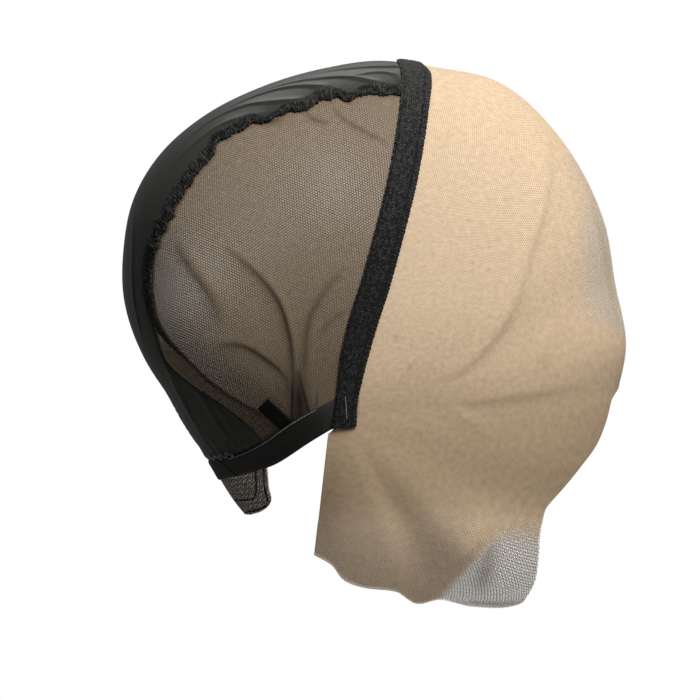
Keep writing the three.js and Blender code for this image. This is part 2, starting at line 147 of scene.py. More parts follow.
# The room is white where the camera looks straight at it. As a source of light it is dimmer, and
# dimmest below
world = bpy.data.worlds.new("white_room")
world.use_nodes = True
room = world.node_tree
seen = room.nodes["Background"]
fill_sockets(room, seen, {"Color": WHITE, "Strength": 1.0})
direction = add_node(room, "ShaderNodeTexCoord").outputs["Generated"]
slope = add_node(room, "ShaderNodeSeparateXYZ", {0: direction}).outputs["Z"]
strength = spread(room, slope, ROOM_SLOPE_LOW, ROOM_SLOPE_HIGH, ROOM_LIGHT_LOW, ROOM_LIGHT_HIGH)
lighting = add_node(room, "ShaderNodeBackground", {"Color": WHITE, "Strength": strength})
rays = add_node(room, "ShaderNodeLightPath")
choice = add_node(room, "ShaderNodeMixShader", {
    "Fac": rays.outputs["Is Camera Ray"], 1: lighting.outputs[0], 2: seen.outputs[0]})
fill_sockets(room, room.nodes["World Output"], {"Surface": choice.outputs[0]})
scene.world = world

# Crown panel
# A strip of black stretch satin from the front band over the top and down to the nape strap,
# caught in small lengthwise pleats at the band and gathered again where the strap holds it.
SIDES = {"right": 1, "left": -1}
HEAD_HALF_WIDTH = 73
EAR_BACK, EAR_UP = 23.4, -143.6
HEAD_CORE = np.array([0, 10, -95])
# Angle round the line through both ears (0 front, 90 up, 180 back), reach from that line to the
# side outline, and the power of the rounded section from the outline to the ear
HEAD_SECTIONS = np.array([
    (-103, 78, 2.0), (-90, 86, 2.0), (-73, 89, 2.0), (-60, 90, 1.9), (-46, 106, 1.75), (-27, 104, 1.7),
    (-12, 107, 1.7), (4, 112, 1.7), (14, 119, 1.75), (26, 123.5, 1.9), (37, 133, 2.1), (54, 145, 2.4),
    (65, 150, 2.5), (76, 146.4, 2.6), (84.5, 145.1, 2.6), (93, 141.6, 2.6), (104, 137.8, 2.6),
    (115, 134.4, 2.6), (125, 129.8, 2.6), (134, 122.6, 2.6), (143, 111.8, 2.55), (152, 100.8, 2.5),
    (164, 83.8, 2.3), (173, 72, 2.2), (185, 63, 2.05), (198, 57.5, 1.9), (210, 56.2, 1.8),
    (232, 57.0, 1.8)])
CLOTH_MIDDLE, JOIN_GAP = 0.5, 0.002
CROWN_FIRST, CROWN_LAST, CROWN_LAP = 79, 202, 0.2
# How much the columns crowd towards the mid-plane, where the form turns away fastest
RIM_CROWDING = 2.3
SATIN_DARK, SATIN_LIGHT = (0.019, 0.02, 0.0165), (0.0275, 0.029, 0.024)
# Angle, and reach of the border between satin and net
CROWN_EDGE = np.array([
    (76, 135.5), (90, 132), (100, 127.5), (110, 124.5), (120, 118.5), (130, 110.4), (140, 102.5),
    (150, 91), (157, 82), (163.5, 74), (172, 54.5), (178, 45), (189, 36.5), (204, 33)])
# How far the ruched seam draws that border out, by angle
SEAM_SWAY = np.array([
    (79, 0), (84.8, 0.3), (86.8, -0.35), (88.5, -2.0), (89.8, -1.2), (91.3, 0.3), (92.8, 1.0),
    (94.3, 0.9), (95.6, -0.3), (97, -0.7), (100.2, -0.1), (102.9, -0.2), (104.1, -1.0), (105.7, -0.2),
    (107.7, 1.5), (110.1, 1.3), (114.6, 2.4), (116.9, 0), (120, -0.1), (133, -0.4), (140, 0.3),
    (147, -0.3), (153, 0), (202, 0)])
# Gathers in the satin, in the side view from front to back: places back from and above the ear,
# height, and how far it falls off on its lower and its upper side
CROWN_PLEATS = [
    ([(-23, 141.6), (-9, 141.3), (5, 139.8), (19, 136.9), (34, 132.8)], 0.75, 0.6, 2.0),
    ([(-24.1, 135.2), (-20.5, 138.3), (-14, 139.3), (-6, 138.3), (4, 137.9)], 0.8, 0.6, 1.6),
    ([(-13.2, 135.2), (-3.4, 137.1), (8, 136.9), (22.5, 134.7), (38, 129.6), (52, 122.5)],
     0.9, 0.6, 1.8),
    ([(9.8, 133.5), (18, 133.6), (28.2, 131.9), (39.7, 128.0), (49, 123.0), (60, 115)], 0.9, 0.6, 1.8),
    ([(19, 127.7), (28.2, 127.2), (39.7, 125.7), (52.9, 120), (66, 110)], 0.9, 0.6, 2.0),
    ([(32.8, 120.6), (41, 120.5), (49, 118), (60, 110.5), (70, 101)], 0.85, 0.6, 2.2)]
CROWN_FOLDS = [
    ([(84.5, 84), (85, 66), (84.5, 48), (81, 30)], 0.7, 1.2, 2.4),
    ([(70, 62), (66, 30), (52, 0), (43, -12)], 1.0, 2.2, 3.0),
    ([(78, 44), (68, 14), (56, -10)], 0.9, 2.4, 3.4),
    ([(62, 24), (52, 6), (41, -9)], 0.9, 1.4, 2.4),
    ([(72, 6), (65, -4), (59, -13)], 0.8, 1.4, 2.2)]
FOLD_STEPS = 40
# The nape strap that the satin puffs out above: share along it, then its upper and lower edge, back
# from and above the ear
STRAP_EDGES = np.array([
    (0.00, 1.0, 7.8, 2.6, -4.6), (0.08, 4.8, 6.0, 6.0, -6.4), (0.28, 20.1, -2.0, 13.5, -11.0),
    (0.52, 32.0, -10.2, 26.2, -19.2), (0.76, 43.0, -15.6, 36.5, -22.6),
    (1.00, 54.7, -18.3, 50.2, -26.3)])
# The puff's height, how fast it rises above the strap and sinks again, its crinkles' length, and how
# far behind the ear it starts and is full
NAPE_PUFF, NAPE_PUFF_RISE, NAPE_PUFF_REACH, NAPE_PUFF_PITCH = 1.1, 2.5, 4.5, 7.0
NAPE_PUFF_FROM, NAPE_PUFF_FULL = 30, 45


def smoothstep(value, low, high):
    """0 below low, 1 above high and 3t^2 - 2t^3 between."""
    t = np.clip((value - low) / (high - low), 0, 1)
    return t * t * (3 - 2 * t)


def between(first, last, share):
    """The value that goes from first to last by a share."""
    return first + (last - first) * share


def unit(vectors):
    """Vectors brought to length 1."""
    return vectors / np.linalg.norm(vectors, axis=-1, keepdims=True)


def along(table, column, value):
    """A cubic curve through a table's rows by its first column; each row's slope is the one between
    its two neighbours, and the ends hold."""
    keys, values = table[:, 0], table[:, column]
    slopes = np.empty_like(values)
    slopes[1:-1] = (values[2:] - values[:-2]) / (keys[2:] - keys[:-2])
    slopes[[0, -1]] = np.diff(values)[[0, -1]] / np.diff(keys)[[0, -1]]
    i = np.clip(np.searchsorted(keys, value) - 1, 0, len(keys) - 2)
    span = keys[i + 1] - keys[i]
    t = np.clip((value - keys[i]) / span, 0, 1)
    rise = 3 * t**2 - 2 * t**3
    return ((1 - rise) * values[i] + (t**3 - 2 * t**2 + t) * span * slopes[i]
            + rise * values[i + 1] + (t**3 - t**2) * span * slopes[i + 1])


def place_along(table, column, value):
    """The side-view place (back, up) from two columns of a table, as along() gives each."""
    return np.stack([along(table, column, value), along(table, column + 1, value)], -1)


def polar(angle, reach):
    """The side-view place (back, up) at an angle and a reach from the ear."""
    angle = np.radians(angle)
    return np.stack([-reach * np.cos(angle), reach * np.sin(angle)], -1)


def angle_of(places):
    """The angle of side-view places, from -128 to 232 degrees."""
    angle = np.degrees(np.arctan2(places[..., 1], -places[..., 0]))
    return np.where(angle < -128, angle + 360, angle)


def share_and_power(places):
    """How far out places lie between the ear, 0, and the outline, 1, and their section's power."""
    angle = angle_of(places)
    share = np.hypot(places[..., 0], places[..., 1]) / along(HEAD_SECTIONS, 1, angle)
    return share, along(HEAD_SECTIONS, 2, angle)


def half_width(places):
    """The head's half width over side-view places: (x/W)^n + share^n = 1."""
    share, power = share_and_power(places)
    return HEAD_HALF_WIDTH * np.maximum(1 - share**power, 0) ** (1 / power)


def outside(x, places):
    """Below zero inside the head form, zero on it, above zero outside."""
    share, power = share_and_power(places)
    return (np.abs(x) / HEAD_HALF_WIDTH) ** power + share**power - 1


def on_form(places, lift=0):
    """Points on the wearer's right, lifted from the form along its normal (slopes of outside())."""
    x = -half_width(places)
    step = 0.02
    back, up = np.array([step, 0]), np.array([0, step])
    normal = unit(np.stack([outside(x + step, places) - outside(x - step, places),
                            outside(x, places + back) - outside(x, places - back),
                            outside(x, places + up) - outside(x, places - up)], -1))
    normal[..., 0] = np.where(x > -1e-9, 0, normal[..., 0])
    seat = np.stack([x, EAR_BACK + places[..., 0], EAR_UP + places[..., 1]], -1)
    return seat + normal * np.asarray(lift)[..., None]


def outline(angle):
    """The head form's side-view outline at an angle."""
    return polar(angle, along(HEAD_SECTIONS, 1, angle))


def fan(roots, rims, columns, crowding=1.0):
    """A grid of places on straight lines from roots to rims; crowding packs columns to the rim:
    share = 1 - (1 - u)^crowding."""
    share = 1 - (1 - np.linspace(0, 1, columns + 1)) ** crowding
    return between(roots[:, None], rims[:, None], share[None, :, None])


def arc_lengths(points, axis):
    """Distance travelled along one axis of a grid of points."""
    hops = np.linalg.norm(np.diff(points, axis=axis), axis=-1)
    return np.insert(np.cumsum(hops, axis), 0, 0, axis)


def bent_line(places, count):
    """A smooth line through a few side-view places, evenly stepped by their distance apart."""
    places = np.array(places, float)
    travel = arc_lengths(places, 0)
    return place_along(np.column_stack([travel, places]), 1, np.linspace(0, travel[-1], count))


def fold_heights(folds, places, rooted=False):
    """The highest of several folds over places. Each follows a bent line on the form, falls off as
    exp(-(d / width)^1.5) with a width for its left and one for its right, and fades at both ends, or
    where rooted only from its first place on."""
    points = on_form(places)
    highest = np.zeros(places.shape[:-1])
    for line_places, height, left_width, right_width in folds:
        line = on_form(bent_line(line_places, FOLD_STEPS))
        offsets = points[..., None, :] - line
        gaps = np.linalg.norm(offsets, axis=-1)
        nearest = gaps.argmin(-1)
        offset = np.take_along_axis(offsets, nearest[..., None, None], axis=-2)[..., 0, :]
        step = np.gradient(line, axis=0)[nearest]
        hop = np.linalg.norm(step, axis=-1)
        ahead = np.clip((offset * step).sum(-1) / hop, -hop / 2, hop / 2)
        gap = np.sqrt(np.maximum(gaps.min(-1) ** 2 - ahead**2, 0))
        to_left = np.cross(points - HEAD_CORE, step)
        width = np.where((offset * to_left).sum(-1) > 0, left_width, right_width)
        gone = nearest / (FOLD_STEPS - 1)
        fade = (1 - gone) ** 0.8 if rooted else np.sqrt(np.sin(np.pi * np.clip(gone, 0.02, 0.98)))
        highest = np.maximum(highest, height * fade * np.exp(-(gap / width) ** 1.5))
    return highest


crinkle_waves = np.random.default_rng(4).uniform(0.6, 1.4, (7, 3))


def crinkle(first, second, pitch):
    """An uneven wave from about -1 to 1: the mean of seven sines of both directions, with fixed random
    lengths near the pitch, times 1.6."""
    waves = [np.sin(2 * np.pi * (a * first + (b - 1) * second) / pitch + 9 * c)
             for a, b, c in crinkle_waves]
    return np.mean(waves, axis=0) * 1.6


def quad_faces(rows, columns, closed=False):
    """Quads between points that run row by row, facing out on the wearer's right. Where closed, each
    row is a ring."""
    i, j = np.meshgrid(np.arange(rows - 1), np.arange(columns if closed else columns - 1), indexing="ij")
    following = (j + 1) % columns
    return np.stack([i * columns + j, i * columns + following, (i + 1) * columns + following,
                     (i + 1) * columns + j], -1).reshape(-1, 4)


def cloth(name, points, maps, material, thickness, **values):
    """A sheet from a right-side grid, with a map in millimetres of cloth for each side that it
    covers. Two sides are joined in the mid-plane. Keeps further values a point as attributes, and
    gets a thin wall."""
    rows, columns = points.shape[:2]
    faces = quad_faces(rows, columns)
    verts = np.concatenate([points * (SIDES[side], 1, 1) for side in maps])
    quads = np.concatenate([faces[:, ::SIDES[side]] + half * rows * columns
                            for half, side in enumerate(maps)])
    values = {label: np.tile(numbers.ravel(), len(maps)) for label, numbers in values.items()}
    uv = np.concatenate(list(maps.values()))
    piece = add_mesh(name, verts, quads.tolist(), material, uv, **values)
    if len(maps) > 1:
        joined = bmesh.new()
        joined.from_mesh(piece.data)
        bmesh.ops.remove_doubles(joined, verts=joined.verts, dist=JOIN_GAP * MM)
        joined.to_mesh(piece.data)
        joined.free()
    wall = piece.modifiers.new("wall", "SOLIDIFY")
    wall.thickness = thickness * MM
    wall.offset = 0
    return piece


def cloth_map(tree):
    """The output of a piece's own map."""
    node = tree.nodes.new("ShaderNodeUVMap")
    node.uv_map = "cloth"
    return node.outputs[0]


def two_tones(tree, factor, dark, light, low=0, high=1):
    """The colour that goes from dark to light while a factor goes from low to high."""
    ramp = add_node(tree, "ShaderNodeValToRGB", {"Fac": factor})
    for stop, place, colour in zip(ramp.color_ramp.elements, (low, high), (dark, light)):
        stop.position = place
        stop.color = (*colour, 1)
    return ramp.outputs["Color"]


def satin_material():
    """Smooth charcoal satin: a fine twill in bump and roughness, and slow changes of tone."""
    material, tree, shader = new_material("crown_satin", SATIN_DARK, roughness=0.42, specular=0.14)
    place = cloth_map(tree)
    twill = add_node(tree, "ShaderNodeTexWave", {
        "Vector": place, "Scale": 1.1, "Distortion": 1.5, "Detail": 1.0}).outputs["Fac"]
    tone = add_node(tree, "ShaderNodeTexNoise", {"Vector": place, "Scale": 0.09}).outputs["Fac"]
    bump = add_node(tree, "ShaderNodeBump", {"Height": twill, "Strength": 0.12, "Distance": 0.1 * MM})
    fill_sockets(tree, shader, {
        "Base Color": two_tones(tree, tone, SATIN_DARK, SATIN_LIGHT),
        "Roughness": spread(tree, twill, 0, 1, 0.36, 0.46), "Normal": bump.outputs["Normal"]})
    return material


def crown_edge(angle):
    """Reach of the border between satin and net, with the seam's sway."""
    return along(CROWN_EDGE, 1, angle) + along(SEAM_SWAY, 1, angle)


crown_angles = np.linspace(CROWN_FIRST, CROWN_LAST, num=260)
crown_rims = polar(crown_angles, crown_edge(crown_angles) + CROWN_LAP)
crown_places = fan(crown_rims, outline(crown_angles), columns=84, crowding=RIM_CROWDING)
crown_back, crown_up = crown_places[..., 0], crown_places[..., 1]
crown_flat = on_form(crown_places)
crown_across = arc_lengths(crown_flat, 1)
crown_relief = fold_heights(CROWN_PLEATS, crown_places, True) + fold_heights(CROWN_FOLDS, crown_places)
# The relief dies out towards the seams, and a crinkled puff stands above the strap
crown_relief *= smoothstep(crown_across, 0.5, 3)
above_strap = crown_up - np.interp(crown_back, STRAP_EDGES[:, 1], STRAP_EDGES[:, 2])
crown_puff = smoothstep(above_strap, 0, NAPE_PUFF_RISE)
crown_puff *= np.exp(-np.maximum(above_strap, 0) / NAPE_PUFF_REACH)
from_middle = crown_across[:, -1:] - crown_across
crown_puff *= 0.6 + 0.5 * crinkle(from_middle, 0.3 * above_strap, NAPE_PUFF_PITCH)
crown_relief += NAPE_PUFF * crown_puff * smoothstep(crown_back, NAPE_PUFF_FROM, NAPE_PUFF_FULL)
crown_length = arc_lengths(crown_flat, 0)[:, -1:]
crown_uv = np.stack([crown_across, crown_length + 0 * crown_across], -1)
crown = cloth("crown_satin", on_form(crown_places, CLOTH_MIDDLE + crown_relief),
              {"right": crown_uv, "left": crown_uv}, satin_material(), thickness=0.5)
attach(crown, "root")
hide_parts("crown_panel")

# Side nets
# Two panels of sheer stretch tulle in brown black, sewn to the crown, the band and the strap, and
# gathered down to the strap behind the ear. The net lies double beside the crown's lower edge.
NET_FIRST, NET_LAST = 77.4, 199.5
NET_ROOT_FIRST, NET_ROOT_LAST = np.array([-2.9, 12.3]), np.array([8.6, 0.8])
NET_ROWS, NET_COLUMNS = 230, 150
# How far the net reaches under the seam, and how deep its rim tucks in there
NET_LAP, NET_TUCK = 1.2, 0.35
# Gathers that run up from the strap: places, height, width on the left and the right
NET_FOLDS = [
    ([(20.2, -1), (19.9, 14), (21.4, 31.6), (26.4, 47), (36.3, 59.1), (46, 67.5)], 0.9, 4.6, 1.6),
    ([(15.2, 3.7), (15.2, 19.5), (13.5, 38.7), (6.5, 51.5), (0, 60)], 0.7, 2.8, 2.4),
    ([(21.4, 8), (24, 16.5), (31.9, 23.4), (41.2, 28.6), (50, 28.6)], 0.6, 4.0, 1.6),
    ([(68.7, 71.2), (60.5, 59.1), (53, 48.1), (49, 38)], 0.8, 3.4, 2.4)]
# Where the gathered net lies over itself: the same lines and more, with the second layer's cover for
# height. That cover also paints shade, dark along each crease and over the wedge by the strap
LONG_GATHER, FRONT_GATHER, BACK_GATHER, HIGH_GATHER = [fold[0] for fold in NET_FOLDS]
NET_CREASE_SHADE = [
    (LONG_GATHER, 0.96, 1.5, 1.3), (FRONT_GATHER, 0.55, 1.4, 1.4), (BACK_GATHER, 0.95, 1.5, 1.5),
    (HIGH_GATHER, 0.4, 2.2, 1.6),
    ([(-2.7, 43.7), (6.1, 37.1), (9.9, 30.5)], 0.3, 1.2, 1.2),
    ([(20.9, -9), (20.7, 8), (19.7, 24)], 1.0, 0.6, 3.0),
    ([(11.5, -6), (15.2, 8), (19.2, 22)], 1.0, 3.0, 0.6),
    ([(16.6, -9), (17.6, 6), (19.2, 21)], 1.0, 3.8, 3.8),
    ([(10.7, 3), (10.5, 10.3)], 0.7, 0.5, 0.5),
    ([(4.6, 126.2), (1.4, 122.1), (-3.4, 118.4), (-18, 110.7)], 0.6, 1.0, 0.6),
    ([(15.2, 122.9), (11.2, 120), (5.5, 118.9)], 0.7, 1.0, 0.6),
    ([(24, 120.5), (30, 119.5), (35, 119.5)], 0.8, 1.2, 1.2)]
# Distance from the ear, and how much of a second layer the net's gathers make there; that cover also
# paints shade, darkest near the ear
NET_COVER_AND_SHADE = np.array([(0, 0.55), (18, 0.52), (40, 0.32), (65, 0.12), (83, 0), (140, 0)])
# The net lies flat round the tab: middle of the place, then where its folds fade out
NET_FLAT, NET_FLAT_NEAR, NET_FLAT_FAR = np.array([26.0, -1.0]), 8, 15
# Angle and reach of the plain seam line that leaves the crown's edge low down
LOW_SEAM = np.array([
    (150, 91), (155.5, 80), (159.5, 68.5), (165.5, 55.5), (171.5, 43.5), (177, 34.4), (183, 29.5),
    (191, 25), (200, 22)])
# The net's second layer past that seam, how much more its hem has and how far that goes; this cover also
# paints shade, so the hem is painted darkest
DOUBLE_COVER_AND_SHADE, HEM_COVER_AND_SHADE, HEM_REACH = 0.36, 0.34, 2.4
# Half the soft step from film to strand in the cover, and where the strand's tone starts, in pitches
STRAND_SOFT, STRAND_TONE_SOFT = 0.03, 0.05
# How much of its cover a cloth loses where it spans free
FREE_LOSS = 0.3


def scalar(tree, operation, *values):
    """The output of a sum on numbers, each a constant or another node's output."""
    return add_node(tree, "ShaderNodeMath", dict(enumerate(values)), operation).outputs[0]


def vector(tree, operation, *values):
    """The output of a sum on vectors; a dot product gives a number."""
    node = add_node(tree, "ShaderNodeVectorMath", dict(enumerate(values)), operation)
    return node.outputs["Value" if operation == "DOT_PRODUCT" else "Vector"]


def mixed(tree, share, first, second):
    """The vector that goes from first to second by a share."""
    node = tree.nodes.new("ShaderNodeMix")
    node.data_type = "VECTOR"
    fill_sockets(tree, node, {"Factor": share, 4: first, 5: second})
    return node.outputs[1]


def point_value(tree, name):
    """The output of a value that a mesh keeps at its points."""
    node = tree.nodes.new("ShaderNodeAttribute")
    node.attribute_name = name
    return node.outputs["Fac"]


def net_material(name, colour, pitch, strand, film, turned, strand_shade, painted_shade,
                 free_colour=None):
    """Hexagonal net cut out of the cloth's map: the distance to the nearest cell border is
    max(|x|, |x|/2 + 0.866|y|) from the cell's middle, and strands lie where it is over
    (1 - strand) / 2. Cells repeat every pitch and keep a film of loose fibre; turned is the grain's
    angle in degrees. Strands are strand_shade times the film's colour. A second layer, from a point
    attribute, adds its cover, and a whole one also takes the shade given for a layer off the red, green
    and blue: that darkening is painted shade, and a negative value paints light instead. Where the
    cloth spans free, attribute free, it turns to free_colour and loses FREE_LOSS of its cover."""
    material, tree, shader = new_material(name, colour, roughness=0.75, specular=0.15)
    place = cloth_map(tree)
    grain = add_node(tree, "ShaderNodeMapping", {
        "Vector": place, "Rotation": (0, 0, math.radians(turned)),
        "Scale": (1 / pitch, 1 / pitch, 1)}).outputs[0]
    half = (0.5, math.sqrt(3) / 2, 0.5)
    minus_half = tuple(-value for value in half)
    first = vector(tree, "WRAP", grain, half, minus_half)
    second = vector(tree, "WRAP", vector(tree, "SUBTRACT", grain, half), half, minus_half)
    first_nearer = scalar(tree, "LESS_THAN", vector(tree, "DOT_PRODUCT", first, first),
                          vector(tree, "DOT_PRODUCT", second, second))
    corner = vector(tree, "ABSOLUTE", mixed(tree, first_nearer, second, first))
    straight = add_node(tree, "ShaderNodeSeparateXYZ", {0: corner}).outputs["X"]
    slanted = vector(tree, "DOT_PRODUCT", corner, (0.5, math.sqrt(3) / 2, 0.0))
    border = scalar(tree, "MAXIMUM", straight, slanted)
    edge = (1 - strand) / 2
    cover = spread(tree, border, edge - STRAND_SOFT, edge + STRAND_SOFT, film, 1)
    doubled, free = point_value(tree, "doubled"), point_value(tree, "free")
    second_layer = scalar(tree, "MULTIPLY", scalar(tree, "SUBTRACT", 1.0, cover), doubled)
    kept_cover = scalar(tree, "MULTIPLY_ADD", free, -FREE_LOSS, 1.0)
    alpha = scalar(tree, "MULTIPLY", scalar(tree, "ADD", cover, second_layer), kept_cover)
    noise = add_node(tree, "ShaderNodeTexNoise", {"Vector": place, "Scale": 0.35}).outputs["Fac"]
    shade = two_tones(tree, noise, 0.75 * np.array(colour), 1.25 * np.array(colour))
    strand_tone = spread(tree, border, edge - STRAND_TONE_SOFT, edge + STRAND_SOFT, 1, strand_shade)
    # Painted shade: the second layer darkens the colour, and a negative shade lightens it
    loss = tuple(-value for value in painted_shade)
    painted_shade_tone = vector(tree, "MULTIPLY_ADD", doubled, loss, (1.0, 1.0, 1.0))
    shown = mixed(tree, free, vector(tree, "MULTIPLY", shade, painted_shade_tone), free_colour or colour)
    fill_sockets(tree, shader, {
        "Alpha": alpha, "Base Color": vector(tree, "MULTIPLY", shown, strand_tone)})
    return material


net_angles = np.linspace(NET_FIRST, NET_LAST, NET_ROWS)
net_turn = np.linspace(0, 1, NET_ROWS)[:, None]
net_roots = between(NET_ROOT_FIRST, NET_ROOT_LAST, net_turn)
net_rims = polar(net_angles, crown_edge(net_angles) + NET_LAP)
net_places = fan(net_roots, net_rims, NET_COLUMNS)
net_shares = np.linspace(0, 1, NET_COLUMNS + 1)
net_bearing, net_reach = angle_of(net_places), np.linalg.norm(net_places, axis=-1)
# Folds die out towards the band, the strap, the ear and the crown
net_clear = (smoothstep(net_turn, 0.04, 0.16) * (1 - smoothstep(net_turn, 0.74, 0.92))
             * smoothstep(net_shares, 0.05, 0.2) * (1 - smoothstep(net_shares, 0.82, 0.97)))
net_clear *= smoothstep(np.linalg.norm(net_places - NET_FLAT, axis=-1), NET_FLAT_NEAR, NET_FLAT_FAR)
net_relief = net_clear * fold_heights(NET_FOLDS, net_places)
net_radius = arc_lengths(on_form(net_places), 1) + np.linalg.norm(net_roots, axis=-1)[:, None]
net_uv = polar(net_bearing, net_radius) * (-1, 1)
# Past the low seam the net lies double, with painted shade that is darkest along that seam
past_low_seam = net_reach - along(LOW_SEAM, 1, net_bearing)
beside_crown = smoothstep(past_low_seam, -0.6, 0.3) * smoothstep(net_bearing, 156, 160)
hem_cover_and_shade = HEM_COVER_AND_SHADE * np.exp(-past_low_seam / HEM_REACH) * smoothstep(net_bearing, 158, 170)
net_doubled = fold_heights(NET_CREASE_SHADE, net_places)
net_doubled = np.maximum(net_doubled, (DOUBLE_COVER_AND_SHADE + hem_cover_and_shade) * beside_crown)
net_doubled = 1 - (1 - net_doubled) * (1 - along(NET_COVER_AND_SHADE, 1, net_reach))
net_lift = CLOTH_MIDDLE + net_relief - NET_TUCK * smoothstep(net_shares, 0.96, 0.985)
net_points = on_form(net_places, net_lift)
side_net = net_material("side_net", (0.29, 0.212, 0.134), pitch=1.15, strand=0.18, film=0.36, turned=25,
                        strand_shade=0.32, painted_shade=(0.96, 0.96, 0.96))
for side in SIDES:
    net = cloth(f"side_net_{side}", net_points, {side: net_uv}, side_net, thickness=0.12,
                doubled=net_doubled)
    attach(net, "root")
    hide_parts(f"side_mesh_{side}")

# Front lace
# A wide uncut sheet of skin-coloured lace, as fine and soft as a stocking, sewn under the band and
# smoothed over forehead, temples and cheeks, with its raw end brought together under the chin.
LACE_FIRST, LACE_CHIN, LACE_LAST = 78.6, -27, -101.5
LACE_ROOT_FIRST, LACE_ROOT_LAST = 57, -127
LACE_ROOT_WIDE, LACE_ROOT_NARROW, LACE_ROOT_HEM = 9, 4.6, 10
LACE_COLUMNS, LACE_LAP = 84, 0.4
# Angle and reach of the raw edge over the mouth, and then at the neck
MOUTH_EDGE = np.array([
    (-46, 106), (-41, 103.6), (-36.5, 99), (-31.5, 94), (-27, 91.5), (-24.2, 91), (-18.3, 94.5),
    (-12.3, 99), (-6.7, 104), (-1, 107.5), (3.6, 110), (5.5, 113)])
NECK_EDGE = np.array([
    (-101.5, 57.7), (-94, 61), (-90, 66.5), (-84, 70), (-73, 75), (-69, 82), (-62, 85), (-56, 94)])
MOUTH_FIRST, MOUTH_LAST, NECK_LAST = MOUTH_EDGE[0, 0], MOUTH_EDGE[-1, 0], NECK_EDGE[-1, 0]
# Height above the ear, and how close the lace reads there: a cover that also paints shade, darkest from
# the cheek down to the jaw
LACE_COVER_AND_SHADE = np.array([
    (-100, 0.34), (-63, 0.34), (-50, 0.36), (-43, 0.46), (-36, 0.74), (-27, 0.92), (-14, 0.95),
    (-2, 0.93), (10, 0.76), (22, 0.57), (35, 0.5), (48, 0.4), (160, 0.4)])
# The lace is sheerer where it spans free. In front of the brow that is past a line, by height above
# the ear and place forward of it, with a soft border and a share of the full effect
FREE_FRONT = np.array([
    (30, 125), (36, 108), (43, 101.5), (51, 98), (63, 98), (78, 98), (91, 99), (105, 95), (112, 110)])
FREE_FRONT_SOFT, FREE_FRONT_SHARE = 8, 0.62
# Under the chin it is past a line through a point, along a direction, and below a height
FREE_CHIN, FREE_CHIN_AHEAD, FREE_CHIN_SOFT = np.array([-39.4, -74.2]), np.array([-0.73, -0.685]), 1.5
FREE_CHIN_TOP, FREE_CHIN_FULL = -41, -56
# Soft folds: places from above or behind, height, width on the left and the right
LACE_FOLDS = [
    ([(-83, 115), (-82, 90), (-75, 67), (-67, 42), (-50, 21), (-33, 14)], 1.6, 2.4, 7.0),
    ([(-33, 14), (-39, 9), (-48, 1), (-58, -5)], 0.6, 1.4, 4.0),
    ([(-84, 36), (-82.4, 27), (-83, 19)], 0.9, 1.6, 3.0),
    ([(-40, 5), (-58, 7), (-77, 9.5), (-98, 13.5)], 0.7, 7.0, 2.6),
    ([(-60, -42), (-48, -60), (-39, -74)], 0.9, 5.0, 5.0)]
# Thin creases, as the folds but with the second layer's cover for height; that cover paints shade along
# each crease
LACE_CREASE_SHADE = [
    ([(-17.2, 47.2), (-19.5, 38), (-23.4, 26.7), (-29.5, 16.4), (-39.8, 8.2), (-47, 2.5)],
     0.95, 1.0, 0.7),
    ([(-76, 56), (-78, 42), (-79, 30)], 0.6, 0.9, 0.6),
    ([(-84, 112), (-88, 96), (-86, 78), (-78, 60)], 0.5, 1.2, 0.8),
    ([(-95, 104), (-105, 76), (-109, 54), (-114, 30)], 0.5, 4.5, 4.5),
    ([(-61.9, -49.7), (-59, -61), (-56.2, -72)], 0.4, 4.0, 4.0),
    ([(-50, -76.2), (-62, -77), (-75, -77)], 0.5, 2.5, 2.5)]
# The radius of the ball that the lace's map is spread out from
LACE_RADIUS = 100

lace_angles = np.concatenate([
    np.linspace(LACE_LAST, NECK_LAST, 44, endpoint=False),
    np.linspace(NECK_LAST, LACE_CHIN, 26, endpoint=False),
    np.linspace(LACE_CHIN, MOUTH_LAST, 34, endpoint=False), np.linspace(MOUTH_LAST, LACE_FIRST, 76)])
lace_turn = np.linspace(1, 0, len(lace_angles))
root_reach = between(LACE_ROOT_WIDE, LACE_ROOT_NARROW, np.minimum(1, 4 * lace_turn))
root_reach += (LACE_ROOT_HEM - LACE_ROOT_NARROW) * smoothstep(lace_turn, 0.96, 1)
lace_roots = polar(between(LACE_ROOT_FIRST, LACE_ROOT_LAST, lace_turn), root_reach)
at_mouth = (lace_angles > MOUTH_FIRST) & (lace_angles < MOUTH_LAST)
lace_reach = np.select([at_mouth, lace_angles < NECK_LAST],
                       [along(MOUTH_EDGE, 1, lace_angles), along(NECK_EDGE, 1, lace_angles)],
                       along(HEAD_SECTIONS, 1, lace_angles))
lace_places = fan(lace_roots, polar(lace_angles, lace_reach), LACE_COLUMNS, crowding=2.0)
lace_back, lace_up = lace_places[..., 0], lace_places[..., 1]
lace_shares = np.linspace(0, 1, LACE_COLUMNS + 1)
# Folds die out towards the band, the ear and the rim, and the lace laps over the cloth at the band
lace_clear = (smoothstep(lace_turn, 0.03, 0.15)[:, None] * smoothstep(lace_shares, 0.1, 0.3)
              * (1 - smoothstep(lace_shares, 0.85, 1)))
lace_lap = LACE_LAP * (1 - smoothstep(lace_turn, 0, 0.04))[:, None]
lace_relief = lace_clear * fold_heights(LACE_FOLDS, lace_places)
lace_points = on_form(lace_places, CLOTH_MIDDLE + lace_lap + lace_relief)
past_front = smoothstep(-lace_back - along(FREE_FRONT, 1, lace_up), -FREE_FRONT_SOFT, FREE_FRONT_SOFT)
past_chin = smoothstep((lace_places - FREE_CHIN) @ FREE_CHIN_AHEAD, -FREE_CHIN_SOFT, FREE_CHIN_SOFT)
past_chin *= smoothstep(-lace_up, -FREE_CHIN_TOP, -FREE_CHIN_FULL)
lace_free = np.maximum(FREE_FRONT_SHARE * past_front, past_chin)
